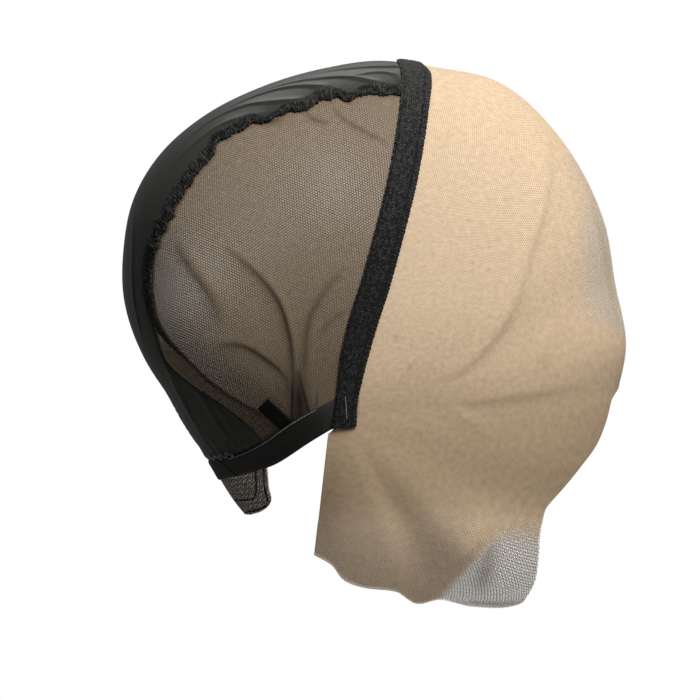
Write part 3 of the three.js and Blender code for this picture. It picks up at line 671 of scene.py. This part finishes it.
lace_cover_and_shade = along(LACE_COVER_AND_SHADE, 1, lace_up) * (1 - lace_free)
lace_cover_and_shade = np.maximum(lace_cover_and_shade, fold_heights(LACE_CREASE_SHADE, lace_places))


def face_map(points):
    """A map of the lace spread flat from the face: angle from the face's axis as distance, and the
    direction round it as bearing."""
    ray = unit(points - HEAD_CORE)
    distance = LACE_RADIUS * np.arccos(np.clip(-ray[..., 1], -1, 1))
    bearing = np.arctan2(ray[..., 2], ray[..., 0])
    return np.stack([distance * np.cos(bearing), distance * np.sin(bearing)], -1)


# The lace's cover and creases paint shade on it, a little browner than grey
skin_lace = net_material("skin_lace", (0.925, 0.699, 0.47), pitch=1.05, strand=0.2, film=0.05, turned=15,
                         strand_shade=0.84, painted_shade=(0.64, 0.652, 0.68),
                         free_colour=(0.43, 0.37, 0.285))
lace_maps = {side: face_map(lace_points * (mirror, 1, 1)) for side, mirror in SIDES.items()}
lace = cloth("skin_lace", lace_points, lace_maps, skin_lace, thickness=0.25, doubled=lace_cover_and_shade,
             free=lace_free)
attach(lace, "root")
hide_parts("front_lace")

# Front band
# Thick crocheted elastic from ear to ear over the joint of lace, net and crown: chains of stitches
# in the middle, a plain rear border, a groove and a picot edge in front, cut square above the ear.
BAND_LEAN, BAND_LIFT, BAND_WALL = 77, 1.2, 1.1
BAND_ROWS, BAND_COLUMNS, BAND_UNDER_COLUMNS = 760, 47, 5
FINE_STEPS = 3000
# The front edge's picots: their pitch, the length over which it varies, and how far they stand out as
# a share of the width; then the rear edge's sway, as such a share
PICOT_PITCH, PICOT_SWAY, PICOT_REACH, REAR_SWAY = 1.6, 4.7, 0.026, 0.015
LOOP_LENGTH, LOOP_WIDTH = 1.25, 0.95
# The loops stand flatter on the stretched sides, and higher over the top, by distance along the band
LOOP_DEPTH, LOOP_DEPTH_MORE, LOOP_DEPTH_FROM, LOOP_DEPTH_FULL = 0.62, 0.45, 40, 170
loop_heights = np.random.default_rng(7).uniform(0.3, 1.0, (200, 16))
# The band's middle line forward of a straight lean, and its width, by distance from the ear
BAND_LINE = np.array([
    (-7, 1.8, 9.9), (-3, 1.3, 9.8), (6, 0.1, 8.9), (14, -0.4, 9.7), (24, -0.9, 11.0), (40, -0.4, 11.8),
    (55, 0.9, 11.8), (95, 2.1, 11.8), (117, 1.2, 11.8), (131, -0.2, 11.9), (138, -1.2, 12.4),
    (141.5, -2.2, 12.6), (143.2, -3.0, 12.7), (144.7, -4.5, 12.1), (146.4, -6.6, 10.5),
    (148, -7.6, 9.6)])
# The cut lower end rises towards the front: distance from the ear at its rear and its front corner.
# The top is searched for between two distances
BAND_FOOT_REAR, BAND_FOOT_FRONT = -6.2, -3.1
BAND_TOP_LEAST, BAND_TOP_MOST = 100.0, 170.0


def halve(low, high, holds):
    """The values between low and high up to which a test holds, by 40 halvings of whole arrays."""
    for _ in range(40):
        middle = (low + high) / 2
        good = holds(middle)
        low, high = np.where(good, middle, low), np.where(good, high, middle)
    return high


def band_place(distance, share):
    """Side-view places on the band: distance up the lean from the ear, and share of its width across
    it, from -0.5 at the rear edge to 0.5 in front."""
    forward = along(BAND_LINE, 1, distance) + share * along(BAND_LINE, 2, distance)
    return distance[..., None] * polar(BAND_LEAN, 1) + forward[..., None] * polar(BAND_LEAN - 90, 1)


def even_shares(points, count):
    """Shares of a line's parameter at count + 1 points that lie evenly along it, and their travel."""
    travelled = arc_lengths(points, 0)
    even = np.linspace(0, travelled[-1], count + 1)
    return np.interp(even, travelled, np.linspace(0, 1, len(points))), even


def both_halves(right, mirror=1):
    """Rows of a right half carried on past the mid-plane, where the last row is shared."""
    return np.concatenate([right, (right * mirror)[-2::-1]])


def strip(name, points, material, uv=None, **values):
    """A closed body from rings of points, capped at both ends, with its faces pointing out. Keeps its
    map and values as add_mesh does."""
    rows, columns = points.shape[:2]
    caps = [list(range(columns)), list(range((rows - 1) * columns, rows * columns))]
    faces = quad_faces(rows, columns, True).tolist() + caps
    piece = add_mesh(name, points, faces, material, uv, **values)
    body = bmesh.new()
    body.from_mesh(piece.data)
    bmesh.ops.recalc_face_normals(body, faces=body.faces)
    body.to_mesh(piece.data)
    body.free()
    return piece


def yarn_material(name, dark, light, roughness, fibre_scale, sheen=0.06, shade_hollows=False):
    """Spun yarn: two tones in a fine noise, with a matching bump and a little sheen. On a piece with
    shaded holes, the attribute relief, 0 in a hole and 1 on a loop, sets the tone as well: painted
    shade, darker in the holes."""
    material, tree, shader = new_material(name, dark, roughness, specular=0.15)
    place = add_node(tree, "ShaderNodeTexCoord").outputs["Object"]
    fibre = add_node(tree, "ShaderNodeTexNoise", {
        "Vector": place, "Scale": fibre_scale, "Detail": 3.0}).outputs["Fac"]
    factor = fibre
    # Painted shade: the tone follows the relief, darkest in the holes
    if shade_hollows:
        softened = scalar(tree, "MULTIPLY", fibre, 0.4)
        factor = scalar(tree, "MULTIPLY_ADD", point_value(tree, "relief"), 0.7, softened)
    bump = add_node(tree, "ShaderNodeBump", {"Height": fibre, "Strength": 0.4, "Distance": 0.15 * MM})
    fill_sockets(tree, shader, {
        "Base Color": two_tones(tree, factor, dark, light, 0.35, 0.75), "Normal": bump.outputs["Normal"],
        "Sheen Weight": sheen, "Sheen Roughness": 0.5})
    return material


def loop_field(travel, across, length, width):
    """Crochet loops from 0.1 to 1, a cell of length by width each, in staggered columns: a dome
    sqrt(1 - (2u)^2 - (2v)^2) from the cell's middle, of the cell's own height."""
    column = across / width
    row = travel / length + 0.5 * (np.floor(column) % 2)
    u, v = row % 1 - 0.5, column % 1 - 0.5
    rows, columns = loop_heights.shape
    heights = loop_heights[np.floor(row).astype(int) % rows, np.floor(column).astype(int) % columns]
    return 0.1 + 0.9 * heights * np.sqrt(np.clip(1 - (2 * u) ** 2 - (2 * v) ** 2, 0, 1))


def picot_turn(travel, across):
    """The turn of the picots' uneven wave along the band."""
    return 2 * np.pi * travel / PICOT_PITCH + 2 * crinkle(travel, across, PICOT_SWAY)


def knit_relief(travel, share):
    """The band's surface from 0 to 1 over distance along and share across: crochet loops in columns
    that waver, two grooves, and a picot border in front."""
    across = (share + 0.5) * BAND_LINE[:, 2].max() + 0.25 * crinkle(travel, 0, 3.7)
    loops = loop_field(travel + 0.37 * crinkle(across, travel, 2.9), across, LOOP_LENGTH, LOOP_WIDTH)
    picots = 0.35 + 0.35 * np.cos(picot_turn(travel, across))
    surface = loops + 0.5 * (picots - loops) * smoothstep(share, 0.34, 0.38)
    groove = np.exp(-((share - 0.29) / 0.03) ** 2) + 0.7 * np.exp(-((share + 0.42) / 0.025) ** 2)
    return np.clip(surface - 0.3 * groove, 0, 1)


round_shares = np.concatenate([
    np.linspace(-0.5, 0.5, BAND_COLUMNS), np.linspace(0.5, -0.5, BAND_UNDER_COLUMNS)])
on_top = np.arange(len(round_shares)) < BAND_COLUMNS
band_tops = halve(BAND_TOP_LEAST + 0 * round_shares, BAND_TOP_MOST + 0 * round_shares,
                  lambda distance: share_and_power(band_place(distance, round_shares))[0] < 1)
band_feet = between(BAND_FOOT_REAR, BAND_FOOT_FRONT, round_shares + 0.5)
# Rows lie evenly along the band's middle line
middle = BAND_COLUMNS // 2
middle_runs = 1 - (1 - np.linspace(0, 1, FINE_STEPS)) ** RIM_CROWDING
middle_line = band_place(between(band_feet[middle], band_tops[middle], middle_runs), 0)
band_runs, band_travel = even_shares(on_form(middle_line), BAND_ROWS)
band_runs = (1 - (1 - band_runs) ** RIM_CROWDING)[:, None]
band_travel = band_travel[:, None]
picot = PICOT_REACH * np.maximum(np.sin(picot_turn(band_travel, 0)), 0) ** 0.7
ragged = REAR_SWAY * crinkle(band_travel, 0, 3.1)
edge_push = np.where(round_shares > 0.45, picot, np.where(round_shares < -0.45, ragged, 0))
band_places = band_place(between(band_feet, band_tops, band_runs), round_shares + edge_push)
band_relief = knit_relief(band_travel, round_shares + 0 * band_travel)
band_relief *= LOOP_DEPTH + LOOP_DEPTH_MORE * smoothstep(band_travel, LOOP_DEPTH_FROM, LOOP_DEPTH_FULL)
# The section is a rounded bar, 1 - |2 share|^7, that carries the relief on top
rounded = 0.35 + 0.65 * (1 - np.abs(2 * round_shares) ** 7)
band_lift = BAND_LIFT + np.where(on_top, BAND_WALL * rounded * (0.7 + 0.35 * band_relief), 0)
band_yarn = yarn_material("band_elastic", (0.0014, 0.0014, 0.0014), (0.042, 0.042, 0.039), roughness=0.8,
                          fibre_scale=900, sheen=0.03, shade_hollows=True)
band = strip("band_elastic", both_halves(on_form(band_places, band_lift), (-1, 1, 1)), band_yarn,
             relief=both_halves(band_relief))
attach(band, "root")
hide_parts("front_band")

# Crown seams
# On each side the satin and the net are bound together by a narrow overlocked strip that draws up
# into crinkles, and lower down by a plain thin seam across the net.
SEAM_WIDTH, SEAM_HEIGHT, SEAM_LIFT = 4.4, 0.9, 0.9
SEAM_ROWS, SEAM_RING = 900, 18
# The angle at which the crinkles end, and how long before it they fade
RUCHE_LAST, RUCHE_FADE = 153, 7
# The overlock thread: its step, the length of a stitch, the share of the stitch that lies on top, and
# how much of the seam it covers
OVERLOCK_STEP, OVERLOCK_PITCH, OVERLOCK_ON_TOP, OVERLOCK_COVERS = 0.13, 1.2, 0.75, 0.82
# Angle, reach, and width as a share of the full width
SEAM_LINE = np.array([
    (79.4, 134, 1), (84, 132.8, 1.1), (88, 131.6, 0.8), (91, 130.6, 1), (95, 128.8, 1.2),
    (100, 126.5, 0.85), (104, 125.2, 0.6), (107, 124.5, 0.95), (113, 121.9, 1), (120, 117.6, 1.15),
    (130, 109.6, 1.15), (140, 101.8, 1.1), (150, 90.6, 1), (155.5, 80, 0.8), (159.5, 68.5, 0.38),
    (165.5, 55.5, 0.28), (171.5, 43.5, 0.28), (178, 34, 0.25)])


def seam_place(angle, across):
    """Side-view places on the seam: an angle along its line and millimetres across it."""
    return polar(angle, along(SEAM_LINE, 1, angle) + along(SEAM_SWAY, 1, angle) + across)


seam_fine = np.linspace(SEAM_LINE[0, 0], SEAM_LINE[-1, 0], FINE_STEPS)
seam_shares, seam_travel = even_shares(on_form(seam_place(seam_fine, 0)), SEAM_ROWS)
seam_angles = np.interp(seam_shares, np.linspace(0, 1, FINE_STEPS), seam_fine)[:, None]
seam_travel = seam_travel[:, None]
# Where it is ruched, the binding sways, swells and has a ragged rim
ruched = 1 - smoothstep(seam_angles, RUCHE_LAST - RUCHE_FADE, RUCHE_LAST)
seam_sway = ruched * 0.5 * crinkle(seam_travel, 0, 11)
seam_half = 0.5 * SEAM_WIDTH * along(SEAM_LINE, 2, seam_angles)
seam_half = seam_half * (1 + ruched * 0.22 * crinkle(seam_travel, 3, 7))
ring = np.linspace(0, 2 * np.pi, SEAM_RING, endpoint=False)
seam_relief = loop_field(seam_travel + 0.4 * np.sin(3 * ring), seam_half * (1 - np.cos(ring)),
                         length=1.1, width=0.9)
seam_swell = 0.75 + 0.5 * (0.25 + 0.75 * ruched) * seam_relief
seam_ragged = 1 + 0.16 * ruched * crinkle(seam_travel, 2 * np.cos(ring), 1.9)
seam_across = seam_sway + seam_half * np.cos(ring) * seam_ragged
seam_rise = np.maximum(np.sin(ring), 0) ** 0.6 * SEAM_HEIGHT * (0.45 + 0.55 * ruched) * seam_swell
seam_points = on_form(seam_place(seam_angles, seam_across), SEAM_LIFT + seam_rise)


def thread(name, path, material, radius):
    """A thread along a path of points: rings of five points, square to the path, in which out is away
    from the head's middle."""
    ahead = unit(np.gradient(path, axis=0))
    aside = unit(np.cross(ahead, path - HEAD_CORE))
    out = np.cross(aside, ahead)
    turn = np.linspace(0, 2 * np.pi, 5, endpoint=False)[None, :, None]
    rings = path[:, None] + radius * (np.cos(turn) * aside[:, None] + np.sin(turn) * out[:, None])
    return strip(name, rings, material)


# The thread goes slowly over the seam from edge to edge, and fast back under it
overlock_travel = np.arange(0, seam_travel[-1, 0] * OVERLOCK_COVERS, OVERLOCK_STEP)
overlock_angles, overlock_half, overlock_sway = [
    np.interp(overlock_travel, seam_travel[:, 0], values[:, 0])
    for values in (seam_angles, seam_half, seam_sway)]
overlock_phase = (overlock_travel / OVERLOCK_PITCH + 0.5 * crinkle(overlock_travel, 0, 5)) % 1
overlock_over = overlock_phase < OVERLOCK_ON_TOP
overlock_back = (overlock_phase - OVERLOCK_ON_TOP) / (1 - OVERLOCK_ON_TOP)
overlock_across = np.where(overlock_over, 2 * overlock_phase / OVERLOCK_ON_TOP - 1,
                           1 - 2 * overlock_back)
overlock_lift = SEAM_LIFT + np.where(overlock_over, SEAM_HEIGHT * (1.08 - 0.6 * overlock_across**4), 0)
overlock_place = seam_place(overlock_angles, overlock_sway + 1.02 * overlock_half * overlock_across)
overlock_path = on_form(overlock_place, overlock_lift)
binding_yarn = yarn_material("seam_binding", (0.0012, 0.0012, 0.0012), (0.037, 0.038, 0.0345),
                             roughness=0.85, fibre_scale=1100, sheen=0.02, shade_hollows=True)
overlock_yarn = yarn_material("overlock_thread", (0.003, 0.003, 0.003), (0.012, 0.0125, 0.0115),
                              roughness=0.8, fibre_scale=2500, sheen=0.02)
for side, mirror in SIDES.items():
    binding = strip(f"seam_binding_{side}", seam_points * (mirror, 1, 1), binding_yarn,
                    relief=seam_relief)
    overlock = thread(f"seam_overlock_{side}", overlock_path * (mirror, 1, 1), overlock_yarn,
                      radius=0.11)
    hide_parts(f"crown_seam_{side}")
    for piece in (binding, overlock):
        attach(piece, "root")

# Nape straps and tabs
# Smooth flat elastic: a strap from each ear end of the band, lapped and sewn at the nape to a short
# piece across it. A square tab stands up inside the net where each strap is sewn on.
# Half the distance between the straps' slanted ends above and below, and their lap on the nape band
NAPE_HALF_UPPER, NAPE_HALF_LOWER, NAPE_LAP = 27, 33, 1.2
STRAP_LIFT, STRAP_WALL = 1.15, 0.9
# The strap is thinner where it is tucked under the band
TUCK_LIFT, TUCK_WALL = 0.8, 0.3
TAB_WIDTH, TAB_FOOT, TAB_HEAD = 7.0, np.array([20.0, -6.4]), np.array([32.4, 4.9])


def strap_place(share, side):
    """Side-view places on the strap: share from ear to nape, side 0 at the upper edge, 1 below."""
    upper, lower = place_along(STRAP_EDGES, 1, share), place_along(STRAP_EDGES, 3, share)
    return between(upper, lower, np.asarray(side)[..., None])


def strap_share(half, side):
    """The share along the strap at which it lies a half width from the mid-plane."""
    return halve(0.3 + 0 * side, 1 + 0 * side, lambda s: half_width(strap_place(s, side)) > half)


def nape_half(side):
    """The half width at which the strap ends, slanted from its upper to its lower edge."""
    return between(NAPE_HALF_UPPER, NAPE_HALF_LOWER, side)


# Sides and heights of a flat elastic's ring: upper edge to lower edge on top, and back below. The
# height is a rounded bar, 1 - |2 side - 1|^10
elastic_top = 0.5 - 0.5 * np.cos(np.linspace(0, np.pi, num=21))
elastic_sides = np.concatenate([elastic_top, [0.98, 0.75, 0.5, 0.25, 0.02]])
elastic_heights = 0.3 + 0.7 * (1 - np.abs(2 * elastic_sides - 1) ** 10)
elastic_heights[len(elastic_top):] = 0


def elastic_material(name, rib, weave, groove, specular):
    """Matt black elastic: fine lengthwise ribs with a cross weave, from the strap's own map, in the
    colours of its ribs, the weave between and the grooves."""
    material, tree, shader = new_material(name, rib, roughness=0.62, specular=specular)
    ribs = add_node(tree, "ShaderNodeTexBrick", {
        "Vector": cloth_map(tree), "Scale": 1.0, "Brick Width": 0.9, "Row Height": 0.45,
        "Mortar Size": 0.06, "Mortar Smooth": 1.0,
        "Color1": (*rib, 1), "Color2": (*weave, 1), "Mortar": (*groove, 1)})
    bump = add_node(tree, "ShaderNodeBump", {
        "Height": ribs.outputs["Fac"], "Strength": 0.3, "Distance": 0.1 * MM})
    bump.invert = True
    fill_sockets(tree, shader, {"Base Color": ribs.outputs["Color"], "Normal": bump.outputs["Normal"]})
    return material


def elastic_strip(places, lift, wall):
    """Ring points and map of a flat elastic over places, a row for each section."""
    points = on_form(places, lift + wall * elastic_heights)
    return points, np.stack([arc_lengths(points, 0), arc_lengths(points, 1)], -1)


strap_ends = strap_share(nape_half(elastic_sides) - NAPE_LAP, elastic_sides)
strap_shares = np.linspace(0, 1, num=220)[:, None] * strap_ends
untucked = smoothstep(strap_shares, 0.05, 0.13)
strap_points, strap_uv = elastic_strip(strap_place(strap_shares, elastic_sides),
                                       between(TUCK_LIFT, STRAP_LIFT, untucked),
                                       between(TUCK_WALL, STRAP_WALL, untucked))
tab_rise = TAB_HEAD - TAB_FOOT
tab_across = np.array([[0, -1], [1, 0]]) @ (tab_rise / np.linalg.norm(tab_rise))
tab_runs = np.linspace(0, 1, num=24)[:, None, None]
tab_places = TAB_FOOT + tab_rise * tab_runs + (elastic_sides - 0.5)[:, None] * TAB_WIDTH * tab_across
tab_points, tab_uv = elastic_strip(tab_places, lift=-1.2, wall=2.1)
strap_elastic = elastic_material(
    "strap_elastic", rib=(0.019, 0.019, 0.0172), weave=(0.0145, 0.0145, 0.0132),
    groove=(0.008, 0.008, 0.0072), specular=0.12)
# The tab is the strap's elastic in darker colours: painted shade for the shade it lies in behind the net
tab_elastic_painted_shade = elastic_material(
    "tab_elastic_painted_shade", rib=(0.006, 0.006, 0.0054), weave=(0.0045, 0.0045, 0.004),
    groove=(0.003, 0.003, 0.0027), specular=0.06)
for side, mirror in SIDES.items():
    strap = strip(f"nape_elastic_{side}", strap_points * (mirror, 1, 1), strap_elastic, strap_uv)
    tab = strip(f"elastic_tab_{side}", tab_points * (mirror, 1, 1), tab_elastic_painted_shade, tab_uv)
    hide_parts(f"nape_strap_{side}")
    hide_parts(f"strap_tab_{side}")
    for piece in (strap, tab):
        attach(piece, "root")

# Sewing on the strap
# A pale line of stitches below its upper edge, loops of gathering thread above it near the nape, and
# the dark row that holds its end down. A few pale stitches stand on the band's cut end too.
BAND_END_LINE = [(-1.0, 7.4), (-1.3, 3.5), (-1.5, -1.5)]
LINE_STEPS = 60
# Where each line lies: its lift, and from which to which share of the strap's length or width it runs
EDGE_LIFT, EDGE_FIRST, EDGE_LAST, EDGE_SIDE = STRAP_LIFT + STRAP_WALL * 0.98, 0.16, 0.82, 0.05
GATHER_LIFT, GATHER_FIRST, GATHER_LAST, GATHER_SIDE = 2.0, 0.76, 0.96, -0.14
END_LIFT, END_FIRST, END_LAST, END_INSET = STRAP_LIFT + STRAP_WALL * 0.97, 0.04, 0.96, 0.6
stitch_run = np.linspace(0, 1, num=700)


def stitch_waves(count):
    """A sine of so many waves along a line of sewing."""
    return np.sin(2 * np.pi * stitch_run * count)


def sew(label, path, yarn, radius):
    """A line of sewing thread on each side of the cap."""
    for side, mirror in SIDES.items():
        sewing = thread(f"{label}_{side}", path * (mirror, 1, 1), yarn, radius)
        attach(sewing, "root")


edge_shares = between(EDGE_FIRST, EDGE_LAST, stitch_run)
edge_path = on_form(strap_place(edge_shares, EDGE_SIDE), EDGE_LIFT + 0.16 * stitch_waves(38))
gather_shares = between(GATHER_FIRST, GATHER_LAST, stitch_run)
gather_sides = GATHER_SIDE + 0.13 * stitch_waves(4) + 0.08 * crinkle(60 * stitch_run, 0, 9)
gather_path = on_form(strap_place(gather_shares, gather_sides), GATHER_LIFT + 0.3 * stitch_waves(38))
end_sides = between(END_FIRST, END_LAST, stitch_run)
end_shares = strap_share(nape_half(end_sides) + END_INSET, end_sides)
end_path = on_form(strap_place(end_shares, end_sides), END_LIFT + 0.14 * stitch_waves(6))
band_end_path = on_form(bent_line(BAND_END_LINE, LINE_STEPS),
                        BAND_LIFT + BAND_WALL + 0.1 * np.sin(np.arange(LINE_STEPS)))
pale_thread = yarn_material("pale_thread", (0.12, 0.12, 0.114), (0.28, 0.28, 0.268), roughness=0.7,
                            fibre_scale=3000)
dark_thread = yarn_material("dark_thread", (0.001, 0.001, 0.001), (0.004, 0.004, 0.004), roughness=0.8,
                            fibre_scale=3000, sheen=0.01)
sew("strap_edge_stitching", edge_path, pale_thread, radius=0.13)
sew("gathering_thread", gather_path, pale_thread, radius=0.16)
sew("strap_end_stitching", end_path, dark_thread, radius=0.3)
sew("band_end_stitching", band_end_path, pale_thread, radius=0.14)

# Nape band
# The short elastic across the nape, thinner than the straps that are lapped over its slanted ends
# and sewn to it. It is cut from the same elastic.
NAPE_LIFT, NAPE_WALL, NAPE_CROWDING = STRAP_LIFT - 0.3, STRAP_WALL - 0.3, 1.8

nape_starts = strap_share(nape_half(elastic_sides), elastic_sides)
nape_ends = strap_share(0, elastic_sides)
nape_runs = 1 - (1 - np.linspace(0, 1, num=60)[:, None]) ** NAPE_CROWDING
nape_places = strap_place(between(nape_starts, nape_ends, nape_runs), elastic_sides)
nape_right, nape_uv = elastic_strip(nape_places, NAPE_LIFT, NAPE_WALL)
nape_band = strip("nape_elastic_middle", both_halves(nape_right, (-1, 1, 1)), strap_elastic,
                  both_halves(nape_uv))
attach(nape_band, "root")
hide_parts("nape_band")

# Nape lace
# A small apron of brown lace below the strap, with round corners, edged and quilted by two lines of
# black stitching.
# Angle of the row's far end on the outline, then its near end on the free edge, back and up
APRON_EDGE = np.array([
    (203, 31.0, -20.0), (209, 30.6, -24.6), (215, 30.2, -29.6), (220.5, 29.2, -34.4),
    (223, 30.2, -36.9), (224.6, 33.6, -39.3), (225.4, 37.6, -40.5)])
# A crease across it, as the net's creases, with a painted highlight: there the negative layer shade
# makes the colour lighter
APRON_CREASE_HIGHLIGHT = [([(44, -26.5), (39.5, -29.5), (35, -32.5)], 0.6, 0.5, 0.5)]
APRON_LINES = {
    "outer": [(32.0, -21.5), (31.6, -29.0), (30.5, -35.0), (32.0, -37.2), (35.2, -38.8), (38.6, -39.2)],
    "inner": [(35.3, -22.5), (35.0, -30.0), (36.0, -33.8), (39.0, -34.4), (44.0, -34.6)]}
APRON_THREAD_LIFT = 0.75

apron_angles = np.linspace(APRON_EDGE[0, 0], APRON_EDGE[-1, 0], num=60)
apron_rims = place_along(APRON_EDGE, 1, apron_angles)
apron_places = fan(apron_rims, outline(apron_angles), columns=40, crowding=1.9)
apron_points = on_form(apron_places, CLOTH_MIDDLE)
apron_across = arc_lengths(apron_points, 1)
apron_fall = arc_lengths(apron_points, 0)[:, -1:]
apron_uv = np.stack([apron_across - apron_across[:, -1:], apron_fall + 0 * apron_across], -1)
dark_lace = net_material("dark_lace", (0.17, 0.132, 0.088), pitch=1.4, strand=0.22, film=0.34, turned=15,
                         strand_shade=0.3, painted_shade=(-0.9, -0.9, -0.9))
apron = cloth("nape_apron", apron_points, {"right": apron_uv, "left": apron_uv * (-1, 1)}, dark_lace,
              thickness=0.12, doubled=fold_heights(APRON_CREASE_HIGHLIGHT, apron_places))
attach(apron, "root")
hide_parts("nape_lace")
apron_lift = APRON_THREAD_LIFT + 0.1 * np.sin(np.arange(LINE_STEPS) * 1.6)
for label, places in APRON_LINES.items():
    apron_path = on_form(bent_line(places, LINE_STEPS), apron_lift)
    sew(f"apron_stitching_{label}", apron_path, dark_thread, radius=0.22)
